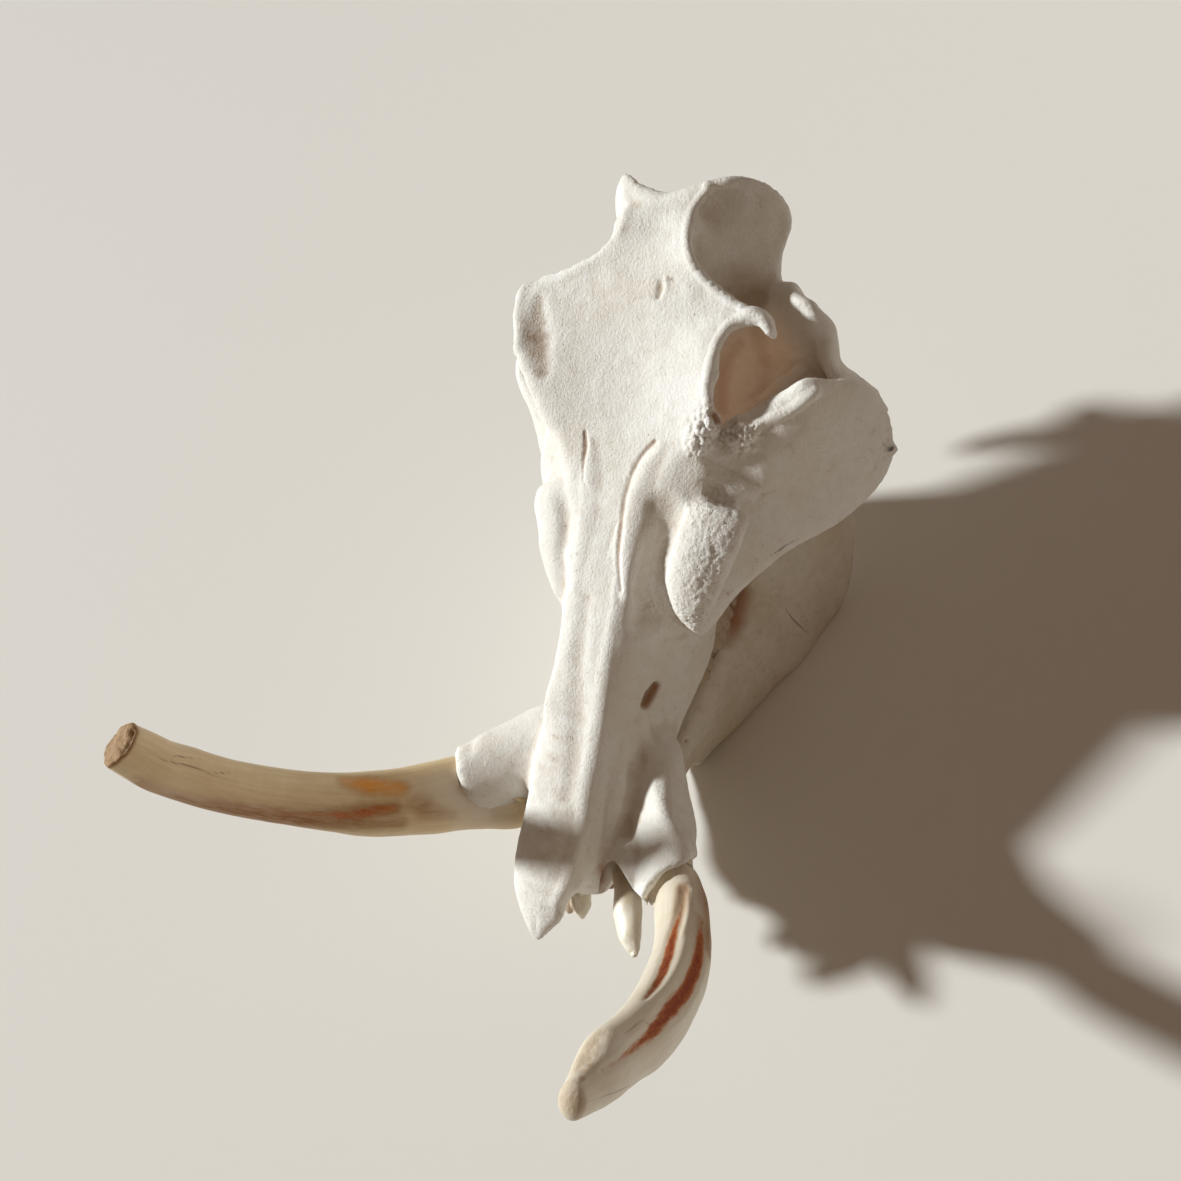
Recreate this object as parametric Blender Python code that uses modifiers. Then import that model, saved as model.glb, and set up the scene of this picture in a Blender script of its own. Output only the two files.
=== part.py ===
"""Warthog skull: cranium resting on its lower jaw, with upper tusks and cheek teeth.

+X is the animal's left, -Y is forward, +Z is up and z = 0 is the surface that the jaw rests on.
Places are written in millimetres on the skull's own midline, then turned into metres by MM.
"""
import math

import bmesh
import bpy
from mathutils import Vector

MM = 0.001

# Driving dimensions of the skull, in millimetres
NASAL_TIP_Y = -196.0
CREST_MID = (0, 146, 240)
BROW_Y = 79
TUSK_BASE_HALF = (18.4, 14.2)
TUSK_TIP_HALF = (10.4, 8.4)
LEFT_TIP_HALF = (8.2, 7.0)
FIT_GAP = 0.4

# Fineness of the fused bones
FUSE_VOXEL = 2.4
SMOOTH_PASSES = 5
CRANIUM_TRIANGLES = 5000
MANDIBLE_TRIANGLES = 1500
TUSK_SIDES = 12
TUSK_RINGS = 14
MOLAR_SIDES = 10
SMALL_TOOTH_SIDES = 8

PARTS_NAME = "warthog_skull"
CUTTERS_NAME = "cutters"


def clear_scene():
    for scene_object in list(bpy.data.objects):
        bpy.data.objects.remove(scene_object, do_unlink=True)


def new_collection(name):
    collection = bpy.data.collections.new(name)
    bpy.context.scene.collection.children.link(collection)
    return collection


def make_material(name, colour, roughness):
    material = bpy.data.materials.new(name)
    material.use_nodes = True
    shader = material.node_tree.nodes["Principled BSDF"]
    shader.inputs["Base Color"].default_value = (*colour, 1.0)
    shader.inputs["Roughness"].default_value = roughness
    shader.inputs["Metallic"].default_value = 0.0
    material.diffuse_color = (*colour, 1.0)
    return material


def mirrored(point, breadth=1.0):
    return (-point[0] * breadth, point[1], point[2])


# Rings of the lofts
def section_ring(y, half_profile):
    """Closed ring in the plane y from a half profile that runs from the top midline to the bottom one."""
    left = [(x, y, z) for x, z in half_profile]
    right = [mirrored(point) for point in reversed(left[1:-1])]
    return left + right


def roof_side(y, half_width, middle_z, edge_z, edge_thickness, middle_thickness):
    """Half ring of an arched or dished roof plate, from the top midline round its edge to the bottom."""
    top = []
    bottom = []
    for step in range(7):
        share = step / 6
        bend = share ** 1.7
        top_z = middle_z + (edge_z - middle_z) * bend
        thickness = middle_thickness + (edge_thickness - middle_thickness) * share
        edge_round = 0.32 * thickness if step == 6 else 0.0
        top.append((half_width * share, y, top_z - edge_round))
        bottom.append((half_width * share * 0.985, y, top_z - thickness + edge_round))
    return top + list(reversed(bottom))


def roof_ring(y, left_edge, right_edge, middle_z, edge_thickness, middle_thickness):
    """Ring of a roof plate from its two edges, each a half width and a height."""
    left = roof_side(y, left_edge[0], middle_z, left_edge[1], edge_thickness, middle_thickness)
    right = roof_side(y, right_edge[0], middle_z, right_edge[1], edge_thickness, middle_thickness)
    return left + [mirrored(point) for point in reversed(right[1:-1])]


def plate_ring(top, bottom, tangent, top_thickness, bottom_thickness):
    """Ring of a blade of bone that runs from the point top to the point bottom."""
    top = Vector(top)
    bottom = Vector(bottom)
    across = tangent.cross(bottom - top).normalized()
    ring = []
    for share, fullness in ((0.0, 0.45), (0.18, 0.95), (0.5, 1.0), (0.82, 0.95), (1.0, 0.45)):
        thickness = top_thickness + (bottom_thickness - top_thickness) * share
        ring.append(top.lerp(bottom, share) + across * (0.5 * thickness * fullness))
    for share, fullness in ((1.0, 0.45), (0.82, 0.95), (0.5, 1.0), (0.18, 0.95), (0.0, 0.45)):
        thickness = top_thickness + (bottom_thickness - top_thickness) * share
        ring.append(top.lerp(bottom, share) - across * (0.5 * thickness * fullness))
    return [tuple(point) for point in ring]


def oval_ring(centre, tangent, long_hint, half_long, half_short, sides):
    """Oval ring round a centre line, its long axis as near to long_hint as the line allows."""
    forward = Vector(tangent).normalized()
    long_axis = (Vector(long_hint) - forward * Vector(long_hint).dot(forward)).normalized()
    short_axis = forward.cross(long_axis)
    ring = []
    for side in range(sides):
        angle = 2 * math.pi * side / sides
        offset = long_axis * (half_long * math.cos(angle)) + short_axis * (half_short * math.sin(angle))
        ring.append(tuple(Vector(centre) + offset))
    return ring


def spanned_ring(centre, long_vector, short_vector, sides=18):
    """Oval ring spanned by its own two half axes."""
    ring = []
    for side in range(sides):
        angle = 2 * math.pi * side / sides
        offset = Vector(long_vector) * math.cos(angle) + Vector(short_vector) * math.sin(angle)
        ring.append(tuple(Vector(centre) + offset))
    return ring


def tangents(points):
    vectors = [Vector(point) for point in points]
    result = []
    for index in range(len(vectors)):
        before = vectors[max(index - 1, 0)]
        after = vectors[min(index + 1, len(vectors) - 1)]
        result.append((after - before).normalized())
    return result


def plate_rings(stations):
    """Rings from stations of (top, bottom, thickness at the top, thickness at the bottom)."""
    middles = [tuple((Vector(top) + Vector(bottom)) / 2) for top, bottom, _, _ in stations]
    return [
        plate_ring(top, bottom, tangent, top_thickness, bottom_thickness)
        for (top, bottom, top_thickness, bottom_thickness), tangent in zip(stations, tangents(middles))
    ]


def tube_rings(stations, long_hint, sides=14):
    """Rings from stations of (centre, half length of the oval, half width of the oval)."""
    centres = [centre for centre, _, _ in stations]
    return [
        oval_ring(centre, tangent, long_hint, half_long, half_short, sides)
        for (centre, half_long, half_short), tangent in zip(stations, tangents(centres))
    ]


def smooth_path(points, count):
    """Points spaced evenly in parameter along a Catmull-Rom curve through the given points."""
    vectors = [Vector(point) for point in points]
    padded = [2 * vectors[0] - vectors[1]] + vectors + [2 * vectors[-1] - vectors[-2]]
    result = []
    for index in range(count):
        place = (len(vectors) - 1) * index / (count - 1)
        span = min(int(place), len(vectors) - 2)
        share = place - span
        a, b, c, d = padded[span:span + 4]
        cubic = (3 * b - a - 3 * c + d) * share ** 3
        square = (2 * a - 5 * b + 4 * c - d) * share ** 2
        result.append(tuple(0.5 * (2 * b + (c - a) * share + square + cubic)))
    return result


# Meshes
def add_loft(mesh_builder, rings):
    """Add one closed skin through the rings, in metres, with its normals out."""
    loops = [[mesh_builder.verts.new(Vector(point) * MM) for point in ring] for ring in rings]
    faces = []
    for near, far in zip(loops, loops[1:]):
        for index in range(len(near)):
            following = (index + 1) % len(near)
            faces.append(mesh_builder.faces.new((near[index], near[following], far[following])))
            faces.append(mesh_builder.faces.new((near[index], far[following], far[index])))
    faces.append(mesh_builder.faces.new(list(reversed(loops[0]))))
    faces.append(mesh_builder.faces.new(loops[-1]))
    bmesh.ops.recalc_face_normals(mesh_builder, faces=faces)


def add_ellipsoid(mesh_builder, centre, radii):
    created = bmesh.ops.create_uvsphere(mesh_builder, u_segments=18, v_segments=12, radius=1.0)
    for vertex in created["verts"]:
        place = Vector([vertex.co[axis] * radii[axis] + centre[axis] for axis in range(3)])
        vertex.co = place * MM


def both_sides(mesh_builder, rings, right_breadth=1.0):
    """Add a left loft and its mirror image, which may be a little narrower or wider, as in life."""
    add_loft(mesh_builder, rings)
    add_loft(mesh_builder, [[mirrored(point, right_breadth) for point in ring] for ring in rings])


def both_ellipsoids(mesh_builder, centre, radii):
    add_ellipsoid(mesh_builder, centre, radii)
    add_ellipsoid(mesh_builder, mirrored(centre), radii)


def object_from_builder(name, mesh_builder, collection, material=None):
    mesh = bpy.data.meshes.new(name)
    mesh_builder.to_mesh(mesh)
    mesh_builder.free()
    new_object = bpy.data.objects.new(name, mesh)
    collection.objects.link(new_object)
    if material:
        mesh.materials.append(material)
    return new_object


def mark_as_cutter(cutter):
    cutter.hide_render = True
    cutter.display_type = "WIRE"


def settle(target):
    """Replace the object's mesh by the result of its modifiers."""
    bpy.context.view_layer.update()
    evaluated = target.evaluated_get(bpy.context.evaluated_depsgraph_get())
    mesh = bpy.data.meshes.new_from_object(evaluated)
    target.modifiers.clear()
    target.data = mesh


def fuse(target):
    """Grow the overlapping lofts into one bone and soften the seams."""
    remesh = target.modifiers.new("fuse", "REMESH")
    remesh.mode = "VOXEL"
    remesh.voxel_size = FUSE_VOXEL * MM
    smooth = target.modifiers.new("soften", "SMOOTH")
    smooth.factor = 0.5
    smooth.iterations = SMOOTH_PASSES
    settle(target)


def cut(target, cutter):
    boolean = target.modifiers.new("cut", "BOOLEAN")
    boolean.operation = "DIFFERENCE"
    boolean.solver = "EXACT"
    boolean.object = cutter
    settle(target)


def thin_out(target, triangles):
    """Keep the given number of triangles, spread where the form turns."""
    triangulate = target.modifiers.new("triangulate", "TRIANGULATE")
    triangulate.min_vertices = 4
    settle(target)
    decimate = target.modifiers.new("thin_out", "DECIMATE")
    decimate.ratio = min(1.0, triangles / len(target.data.polygons))
    settle(target)


def keep_largest_body(target):
    """Drop loose crumbs that a cut leaves beside the bone."""
    builder = bmesh.new()
    builder.from_mesh(target.data)
    unseen = set(builder.verts)
    bodies = []
    while unseen:
        queue = [unseen.pop()]
        body = set(queue)
        while queue:
            vertex = queue.pop()
            for edge in vertex.link_edges:
                neighbour = edge.other_vert(vertex)
                if neighbour in unseen:
                    unseen.remove(neighbour)
                    body.add(neighbour)
                    queue.append(neighbour)
        bodies.append(body)
    bodies.sort(key=len)
    crumbs = [vertex for body in bodies[:-1] for vertex in body]
    bmesh.ops.delete(builder, geom=crumbs, context="VERTS")
    builder.to_mesh(target.data)
    builder.free()


# Cranium
SNOUT_AND_BRAINCASE = (
    (-168, ((0, 93), (9, 91), (13, 88), (13, 84), (11, 81),
     (9, 79), (6, 78), (4, 77), (2, 77), (0, 77))),
    (-160, ((0, 98), (16, 96), (19, 91), (19.5, 84), (19, 77),
     (18, 72), (15, 68), (10, 66), (5, 66), (0, 66))),
    (-145, ((0, 106), (19, 104), (23, 98), (25, 90), (24, 80),
     (23, 71), (20, 65), (14, 63), (7, 64), (0, 65))),
    (-120, ((0, 120), (18, 118), (24, 112), (29, 104), (32, 92),
     (33, 82), (29, 73), (20, 70), (10, 71), (0, 73))),
    (-95, ((0, 134), (17, 133), (22, 127), (27, 117), (31, 104),
     (33, 92), (31, 80), (24, 76), (12, 77), (0, 79))),
    (-66, ((0, 147), (17, 146), (22, 140), (26, 130), (29, 116),
     (32, 102), (32, 90), (30, 82), (13, 82), (0, 85))),
    (-40, ((0, 158), (17, 157), (23, 151), (28, 142), (31, 129),
     (33, 113), (34, 98), (34, 85), (12, 84), (0, 89))),
    (-20, ((0, 167), (18, 166), (26, 160), (33, 150), (38, 139),
     (38, 129), (36, 112), (35, 87), (12, 86), (0, 92))),
    (0, ((0, 176), (20, 176), (30, 170), (40, 160), (48, 149),
     (48, 138), (38, 118), (32, 93), (12, 89), (0, 94))),
    (20, ((0, 183), (22, 184), (34, 182), (46, 172), (57, 158),
     (58, 146), (42, 124), (32, 96), (13, 92), (0, 98))),
    (38, ((0, 189), (24, 191), (37, 193), (53, 188), (64, 174),
     (66, 156), (48, 130), (31, 98), (14, 95), (0, 101))),
    (50, ((0, 194), (26, 197), (38, 198), (47, 188), (50, 170),
     (49, 152), (38, 126), (28, 102), (13, 98), (0, 103))),
    (62, ((0, 199), (26, 202), (33, 199), (33, 190), (40, 174),
     (46, 160), (36, 136), (24, 106), (12, 102), (0, 105))),
    (80, ((0, 207), (26, 209), (32, 206), (33, 196), (37, 180),
     (44, 164), (33, 142), (22, 118), (12, 110), (0, 110))),
    (100, ((0, 216), (24, 220), (28, 214), (29, 202), (34, 184),
     (42, 168), (34, 148), (24, 127), (12, 116), (0, 116))),
    (120, ((0, 230), (20, 236), (23, 228), (26, 210), (31, 190),
     (38, 172), (38, 152), (30, 133), (14, 122), (0, 122))),
    (136, ((0, 238), (21, 239), (26, 228), (30, 210), (34, 190),
     (38, 172), (38, 152), (28, 137), (12, 128), (0, 128))),
    (148, ((0, 230), (14, 228), (20, 215), (26, 200), (31, 185),
     (33, 168), (32, 152), (24, 141), (12, 133), (0, 132))),
)
# Stations of y, left edge, right edge, height at the middle, edge and middle thickness
NASAL_ROOF = (
    (NASAL_TIP_Y, (0.8, 84), (3.5, 84), 84.5, 4, 4.5),
    (-189, (5, 88), (10, 87.5), 89.5, 6, 7),
    (-180, (11, 92.5), (16.5, 92), 96, 7, 9),
    (-168, (18.5, 98), (22, 97), 102.5, 8, 10),
    (-155, (21.5, 104), (24, 102.5), 109, 9, 11),
    (-140, (21.5, 110), (23, 109), 115.5, 10, 12),
    (-120, (20, 120.5), (20, 120.5), 124.5, 9, 12),
    (-90, (18, 134.5), (18, 134.5), 137.5, 8, 12),
)
FOREHEAD = (
    (10, (25, 178), (25, 178), 181, 10, 14),
    (30, (36, 192), (38, 192), 189, 12, 14),
    (44, (46, 202), (50, 204), 196, 12, 14),
    (56, (50, 210), (59, 212), 201, 12, 13),
    (67, (49, 215), (67, 218), 206, 12, 12),
    (BROW_Y, (54, 218), (72, 222), 211, 12, 12),
    (88, (63, 217), (75, 224), 215, 11, 12),
    (97, (66, 215), (76, 226), 219, 10, 12),
    (104, (52, 219), (74, 226), 222, 10, 12),
    (109, (34, 230), (63, 227), 226, 10, 12),
    (115, (26, 236), (36, 235), 231, 10, 12),
    (124, (22, 239), (24, 239), 235, 8, 12),
)
# Stations of upper edge, lower edge and the two thicknesses
ZYGOMATIC_ARCH = (
    ((30, -30, 140), (44, -27, 124), 8, 8),
    ((31, -18, 149), (50, -16, 127), 10, 11),
    ((34, -4, 159), (56, -5, 132), 12, 12),
    ((38, 12, 168), (64, 10, 132), 12, 12),
    ((44, 30, 178), (74, 27, 130), 12, 12),
    ((52, 46, 187), (85, 42, 125), 17, 13),
    ((63, 58, 189), (95, 58, 123), 23, 13),
    ((74, 70, 193), (105, 73, 129), 20, 12),
    ((82, 79, 199), (109.5, 84, 140), 12, 10),
    ((88, 89, 183), (106, 92, 149), 12, 10),
    ((88, 96, 171), (97, 99, 151), 10, 9),
)
SQUAMOSAL = (
    ((87, 88, 178), (97, 91, 150), 10, 9),
    ((84, 98, 184), (89, 101, 150), 11, 9),
    ((80, 107, 191), (83, 109, 154), 12, 10),
    ((75, 113, 203), (71, 110, 158), 9, 18),
    ((65, 122, 206), (57, 112, 156), 9, 26),
    ((51, 135, 193), (44, 114, 152), 12, 32),
    ((32, 136, 184), (28, 112, 150), 14, 32),
)
ORBIT_FLOOR = (
    ((34, 50, 176), (72, 50, 164), 16, 16),
    ((34, 62, 166), (80, 62, 160), 12, 14),
    ((36, 74, 160), (88, 75, 154), 10, 12),
    ((38, 86, 158), (92, 88, 154), 10, 10),
    ((38, 100, 160), (88, 100, 158), 12, 12),
)
NUCHAL_CREST = (
    (CREST_MID, (0, 128, 224), 7, 12),
    ((14, 150, 241.5), (10, 129, 223), 7, 12),
    ((27, 154, 241), (17, 130, 218), 7, 12),
    ((37, 160, 234), (21, 132, 211), 6, 13),
    ((46, 163, 222), (24, 133, 203), 6, 14),
    ((50, 161, 207), (26, 133, 195), 6, 15),
    ((46, 152, 196), (28, 132, 187), 6, 16),
    ((44, 144, 186), (30, 130, 179), 8, 16),
    ((47, 137, 178), (32, 126, 170), 10, 16),
)
# Stations of centre and the two half axes of the oval
TUSK_SLEEVE = (
    ((24, -88, 92), (4, 20, 4), (6, -1, -15)),
    ((38, -102, 92), (8, 22, 8), (10, -1, -17)),
    ((50, -116, 93), (9.5, 22, 10), (13, -1.5, -16)),
    ((58, -127, 95), (11, 19.5, 12.5), (14.5, -1.5, -13)),
    ((63, -135, 98), (11, 16.5, 13), (14.5, -1.5, -11)),
)
# Stations of centre, half length and half width
POSTORBITAL_PROCESS = (
    ((57, 86, 212), 9, 6),
    ((63, 92, 211), 7, 5),
    ((67, 96, 206), 5, 4),
    ((68, 98, 199), 3, 2.5),
)
PAROCCIPITAL_PROCESS = (
    ((34, 132, 158), 11, 8),
    ((37, 134, 138), 10, 6),
    ((38, 133, 116), 8, 4.5),
    ((36, 130, 97), 5, 3.5),
)
PTERYGOID_PLATE = (
    ((14, 52, 112), (13, 50, 88), 6, 5),
    ((15, 66, 118), (15, 64, 90), 6, 4),
    ((17, 80, 122), (19, 79, 98), 6, 4),
    ((18, 92, 126), (21, 92, 110), 6, 5),
)
TUSK_ROOT_TO_TIP = (
    (33, -103, 89), (42, -114, 89), (50, -125, 91), (59, -136, 97), (77, -152, 118), (94.5, -164, 141),
    (107.5, -175, 167), (117, -186, 195), (123, -197, 226), (126, -210, 259),
)
RIGHT_TUSK_ROOT_TO_TIP = (
    (-37, -103, 89), (-47, -114, 89), (-57, -125, 91), (-66, -135, 97), (-82, -152, 119), (-96, -165, 142),
    (-108, -173, 167), (-117, -179, 195), (-125, -180, 227), (-131, -180, 262),
)
ALONG_SKULL = (0, 1, 0)
LEFT_SLEEVE_BREADTH = 0.92
RIGHT_ARCH_BREADTH = 0.915
RIGHT_CREST_BREADTH = 0.95

# Teeth, in millimetres; the biting plane rises towards the back
BITE_HEIGHT = 76.0
BITE_RISE = 0.12
BITE_GAP = 0.3
ROOT_DEPTH = 21.0
# Names with the first y, the last y, the upper and lower centre x and the upper and lower width
CHEEK_TEETH = (
    ("molar_3", -17, 37, 22.0, 23.5, 15.0, 11.5),
    ("molar_2", -36, -19, 21.0, 22.5, 13.0, 10.5),
)
LOWER_CANINE = (
    (25, -108, 50), (28, -120, 57), (32, -134, 67), (37, -148, 77), (42.5, -163, 82), (50, -180, 86),
)
LOWER_CANINE_HALVES = ((7.6, 5.6), (7.6, 5.6), (7.8, 5.6), (8.2, 5.2), (7.4, 4.2), (3.0, 1.8))
UPPER_INCISORS = (
    ("upper_incisor_left", ((12, -148, 72), (11, -156, 71), (9.5, -165, 69.5), (8.5, -172.5, 67.5))),
    ("upper_incisor_right", ((-9, -148, 71), (-7, -156, 70), (-5, -164, 69), (-4, -168, 68))),
)
LOWER_INCISOR_X = (5.2, 14.5)
LOWER_INCISOR_LINE = ((-128, 46), (-138, 49.5), (-147, 53), (-154, 56))


def tusk_rings(path_points, tip_half, growth):
    """Oval rings from the root to the tip; growth widens them to make the socket."""
    path = smooth_path(path_points, TUSK_RINGS)
    rings = []
    for index, (centre, tangent) in enumerate(zip(path, tangents(path))):
        share = index / (TUSK_RINGS - 1)
        taper = max(0.0, (share - 0.3) / 0.7) ** 1.25
        half_long = TUSK_BASE_HALF[0] + (tip_half[0] - TUSK_BASE_HALF[0]) * taper + growth
        half_short = TUSK_BASE_HALF[1] + (tip_half[1] - TUSK_BASE_HALF[1]) * taper + growth
        start = Vector(centre)
        if index == 0:
            start = start - tangent * growth
        rings.append(oval_ring(start, tangent, ALONG_SKULL, half_long, half_short, TUSK_SIDES))
    return rings


def worn_tip(rings, share_long, share_short):
    """Close the tusk with a smaller, slanted last ring, as a tip worn blunt."""
    last = [Vector(point) for point in rings[-1]]
    centre = sum(last, Vector()) / len(last)
    before = [Vector(point) for point in rings[-2]]
    direction = (centre - sum(before, Vector()) / len(before)).normalized()
    capped = [tuple(centre + (point - centre) * share_long + direction * share_short) for point in last]
    return rings + [capped]


def make_cranium(collection, cutters, material):
    builder = bmesh.new()
    add_loft(builder, [section_ring(y, half) for y, half in SNOUT_AND_BRAINCASE])
    add_loft(builder, [roof_ring(*station) for station in NASAL_ROOF])
    add_loft(builder, [roof_ring(*station) for station in FOREHEAD])
    both_sides(builder, plate_rings(ZYGOMATIC_ARCH), RIGHT_ARCH_BREADTH)
    both_sides(builder, plate_rings(SQUAMOSAL), RIGHT_ARCH_BREADTH)
    both_sides(builder, plate_rings(ORBIT_FLOOR), RIGHT_ARCH_BREADTH)
    both_sides(builder, plate_rings(NUCHAL_CREST), RIGHT_CREST_BREADTH)
    right_sleeve = [[mirrored(point) for point in spanned_ring(*station)] for station in TUSK_SLEEVE]
    left_sleeve = [[mirrored(point, LEFT_SLEEVE_BREADTH) for point in ring] for ring in right_sleeve]
    add_loft(builder, right_sleeve)
    add_loft(builder, left_sleeve)
    both_sides(builder, tube_rings(POSTORBITAL_PROCESS, ALONG_SKULL))
    both_sides(builder, tube_rings(PAROCCIPITAL_PROCESS, ALONG_SKULL))
    both_sides(builder, plate_rings(PTERYGOID_PLATE))
    both_ellipsoids(builder, (15, 150, 131), (11, 12, 11))
    both_ellipsoids(builder, (58, 103, 159), (23, 15, 9))
    cranium = object_from_builder("cranium", builder, collection, material)
    fuse(cranium)
    cut(cranium, nasal_aperture(cutters))
    cut(cranium, foramen_magnum(cutters))
    thin_out(cranium, CRANIUM_TRIANGLES)
    cranium.data.materials.clear()
    cranium.data.materials.append(material)
    return cranium


def nasal_aperture(cutters):
    """Opening under the nasal bones, narrowing as it runs back into the snout."""
    builder = bmesh.new()
    stations = (
        ((0, -196, 78), 15, 9),
        ((0, -176, 83), 13, 9),
        ((0, -158, 86), 13, 11),
        ((0, -135, 92), 12, 13),
        ((0, -110, 102), 9, 12),
    )
    add_loft(builder, tube_rings(stations, (1, 0, 0), 16))
    cutter = object_from_builder("nasal_aperture", builder, cutters)
    mark_as_cutter(cutter)
    return cutter


def foramen_magnum(cutters):
    builder = bmesh.new()
    stations = (
        ((0, 172, 142), 12, 11),
        ((0, 146, 147), 12, 11),
        ((0, 122, 156), 15, 14),
        ((0, 106, 164), 9, 9),
    )
    add_loft(builder, tube_rings(stations, (1, 0, 0), 16))
    cutter = object_from_builder("foramen_magnum", builder, cutters)
    mark_as_cutter(cutter)
    return cutter


# Lower jaw
SYMPHYSIS = (
    (-149, ((0, 56), (12, 57), (23, 59), (27, 56), (23, 52), (12, 49), (0, 48))),
    (-136, ((0, 52), (14, 55), (30, 63), (38, 60), (33, 50), (14, 40), (0, 38))),
    (-118, ((0, 50), (12, 54), (28, 67), (37, 60), (32, 47), (13, 32), (0, 29))),
    (-86, ((0, 46), (11, 51), (20, 63), (26, 56), (22, 38), (11, 17), (0, 13))),
    (-60, ((0, 40), (11, 49), (20, 62), (27, 56), (24, 36), (10, 5), (0, 1))),
    (-44, ((0, 14), (9, 18), (15, 26), (20, 22), (19, 13), (10, 2), (0, 1))),
)
JAW_BRANCH = (
    ((19, -74, 61), (13, -70, 9), 12, 12),
    ((22, -55, 63), (17, -52, 1), 18, 14),
    ((23, -35, 65), (25, -33, -0.6), 20, 14),
    ((23, -15, 65), (34, -14, -1), 20, 14),
    ((25, 8, 68), (44, 8, -1), 20, 13),
    ((31, 27, 74), (53, 27, -1), 17, 11),
    ((41, 43, 102), (60, 46, 0), 11, 9),
    ((48, 56, 122), (64, 61, 8), 9, 8),
    ((53, 74, 131), (65, 76, 22), 8, 8),
    ((56, 90, 135), (65, 86, 44), 9, 9),
    ((57, 98, 134), (62, 95, 84), 9, 9),
)


def make_mandible(collection, cutters, material):
    builder = bmesh.new()
    add_loft(builder, [section_ring(y, half) for y, half in SYMPHYSIS])
    both_sides(builder, plate_rings(JAW_BRANCH))
    both_ellipsoids(builder, (57, 98, 137), (15, 8, 7))
    mandible = object_from_builder("mandible", builder, collection, material)
    fuse(mandible)
    thin_out(mandible, MANDIBLE_TRIANGLES)
    mandible.data.materials.clear()
    mandible.data.materials.append(material)
    cut(mandible, below_the_table(cutters))
    return mandible


def below_the_table(cutters):
    """Box whose top face is z = 0, so that the jaw rests on small flat faces."""
    builder = bmesh.new()
    bmesh.ops.create_cube(builder, size=1.0)
    for vertex in builder.verts:
        vertex.co = Vector((vertex.co.x * 0.4, vertex.co.y * 0.6, (vertex.co.z - 0.5) * 0.1))
    cutter = object_from_builder("below_the_table", builder, cutters)
    mark_as_cutter(cutter)
    return cutter


def make_tooth(name, tooth_rings, socket_rings, bone, collection, cutters, material):
    """One tooth as its own solid, with a slightly wider socket cut in the bone that holds it."""
    builder = bmesh.new()
    add_loft(builder, tooth_rings)
    tooth = object_from_builder(name, builder, collection, material)
    tooth.data.shade_smooth()
    builder = bmesh.new()
    add_loft(builder, socket_rings)
    socket = object_from_builder(name + "_socket", builder, cutters)
    mark_as_cutter(socket)
    cut(bone, socket)


def make_tusks(collection, cutters, cranium, material):
    for name, points, tip_half in (
        ("upper_tusk_left", TUSK_ROOT_TO_TIP, LEFT_TIP_HALF),
        ("upper_tusk_right", RIGHT_TUSK_ROOT_TO_TIP, TUSK_TIP_HALF),
    ):
        solid = worn_tip(tusk_rings(points, tip_half, 0.0), 0.6, 5.0)
        socket = tusk_rings(points, tip_half, FIT_GAP + 0.2)
        make_tooth(name, solid, socket, cranium, collection, cutters, material)


def molar_rings(first_y, last_y, centre_x, width, low_z, high_z, growth):
    """Rings of a long cheek tooth, stacked along Z, that lean with the biting plane."""
    middle_y = (first_y + last_y) / 2
    half_length = (last_y - first_y) / 2 + growth
    half_width = width / 2 + growth
    rings = []
    for height, fullness in ((low_z, 0.93), ((low_z + high_z) / 2, 1.0), (high_z, 0.93)):
        fullness = 1.0 if growth > 0 else fullness
        ring = []
        for side in range(MOLAR_SIDES):
            angle = 2 * math.pi * side / MOLAR_SIDES
            across = math.copysign(abs(math.cos(angle)) ** 0.6, math.cos(angle)) * half_width * fullness
            along = math.copysign(abs(math.sin(angle)) ** 0.6, math.sin(angle)) * half_length * fullness
            lean = (middle_y + along) * BITE_RISE
            ring.append((centre_x + across, middle_y + along, height + lean))
        rings.append(ring)
    return rings


def make_cheek_teeth(collection, cutters, cranium, mandible, material):
    for name, first_y, last_y, upper_x, lower_x, upper_width, lower_width in CHEEK_TEETH:
        for side_name, side in (("left", 1), ("right", -1)):
            upper = (BITE_HEIGHT + BITE_GAP, BITE_HEIGHT + ROOT_DEPTH)
            lower = (BITE_HEIGHT - ROOT_DEPTH, BITE_HEIGHT - BITE_GAP)
            make_tooth(
                "upper_" + name + "_" + side_name,
                molar_rings(first_y, last_y, side * upper_x, upper_width, *upper, 0.0),
                molar_rings(first_y, last_y, side * upper_x, upper_width, upper[0], upper[1] + 1, FIT_GAP),
                cranium, collection, cutters, material,
            )
            make_tooth(
                "lower_" + name + "_" + side_name,
                molar_rings(first_y, last_y, side * lower_x, lower_width, *lower, 0.0),
                molar_rings(first_y, last_y, side * lower_x, lower_width, lower[0] - 1, lower[1], FIT_GAP),
                mandible, collection, cutters, material,
            )


def peg_rings(points, halves, growth, sides):
    """Oval rings along a short tooth; growth widens them and deepens the root end."""
    stations = [(centre, long_half + growth, short_half + growth) for centre, (long_half, short_half) in
                zip(points, halves)]
    if growth > 0:
        lead = (Vector(points[0]) - Vector(points[1])).normalized() * growth
        stations[0] = (tuple(Vector(points[0]) + lead), *stations[0][1:])
    return tube_rings(stations, (1, 0, 0), sides)


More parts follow.
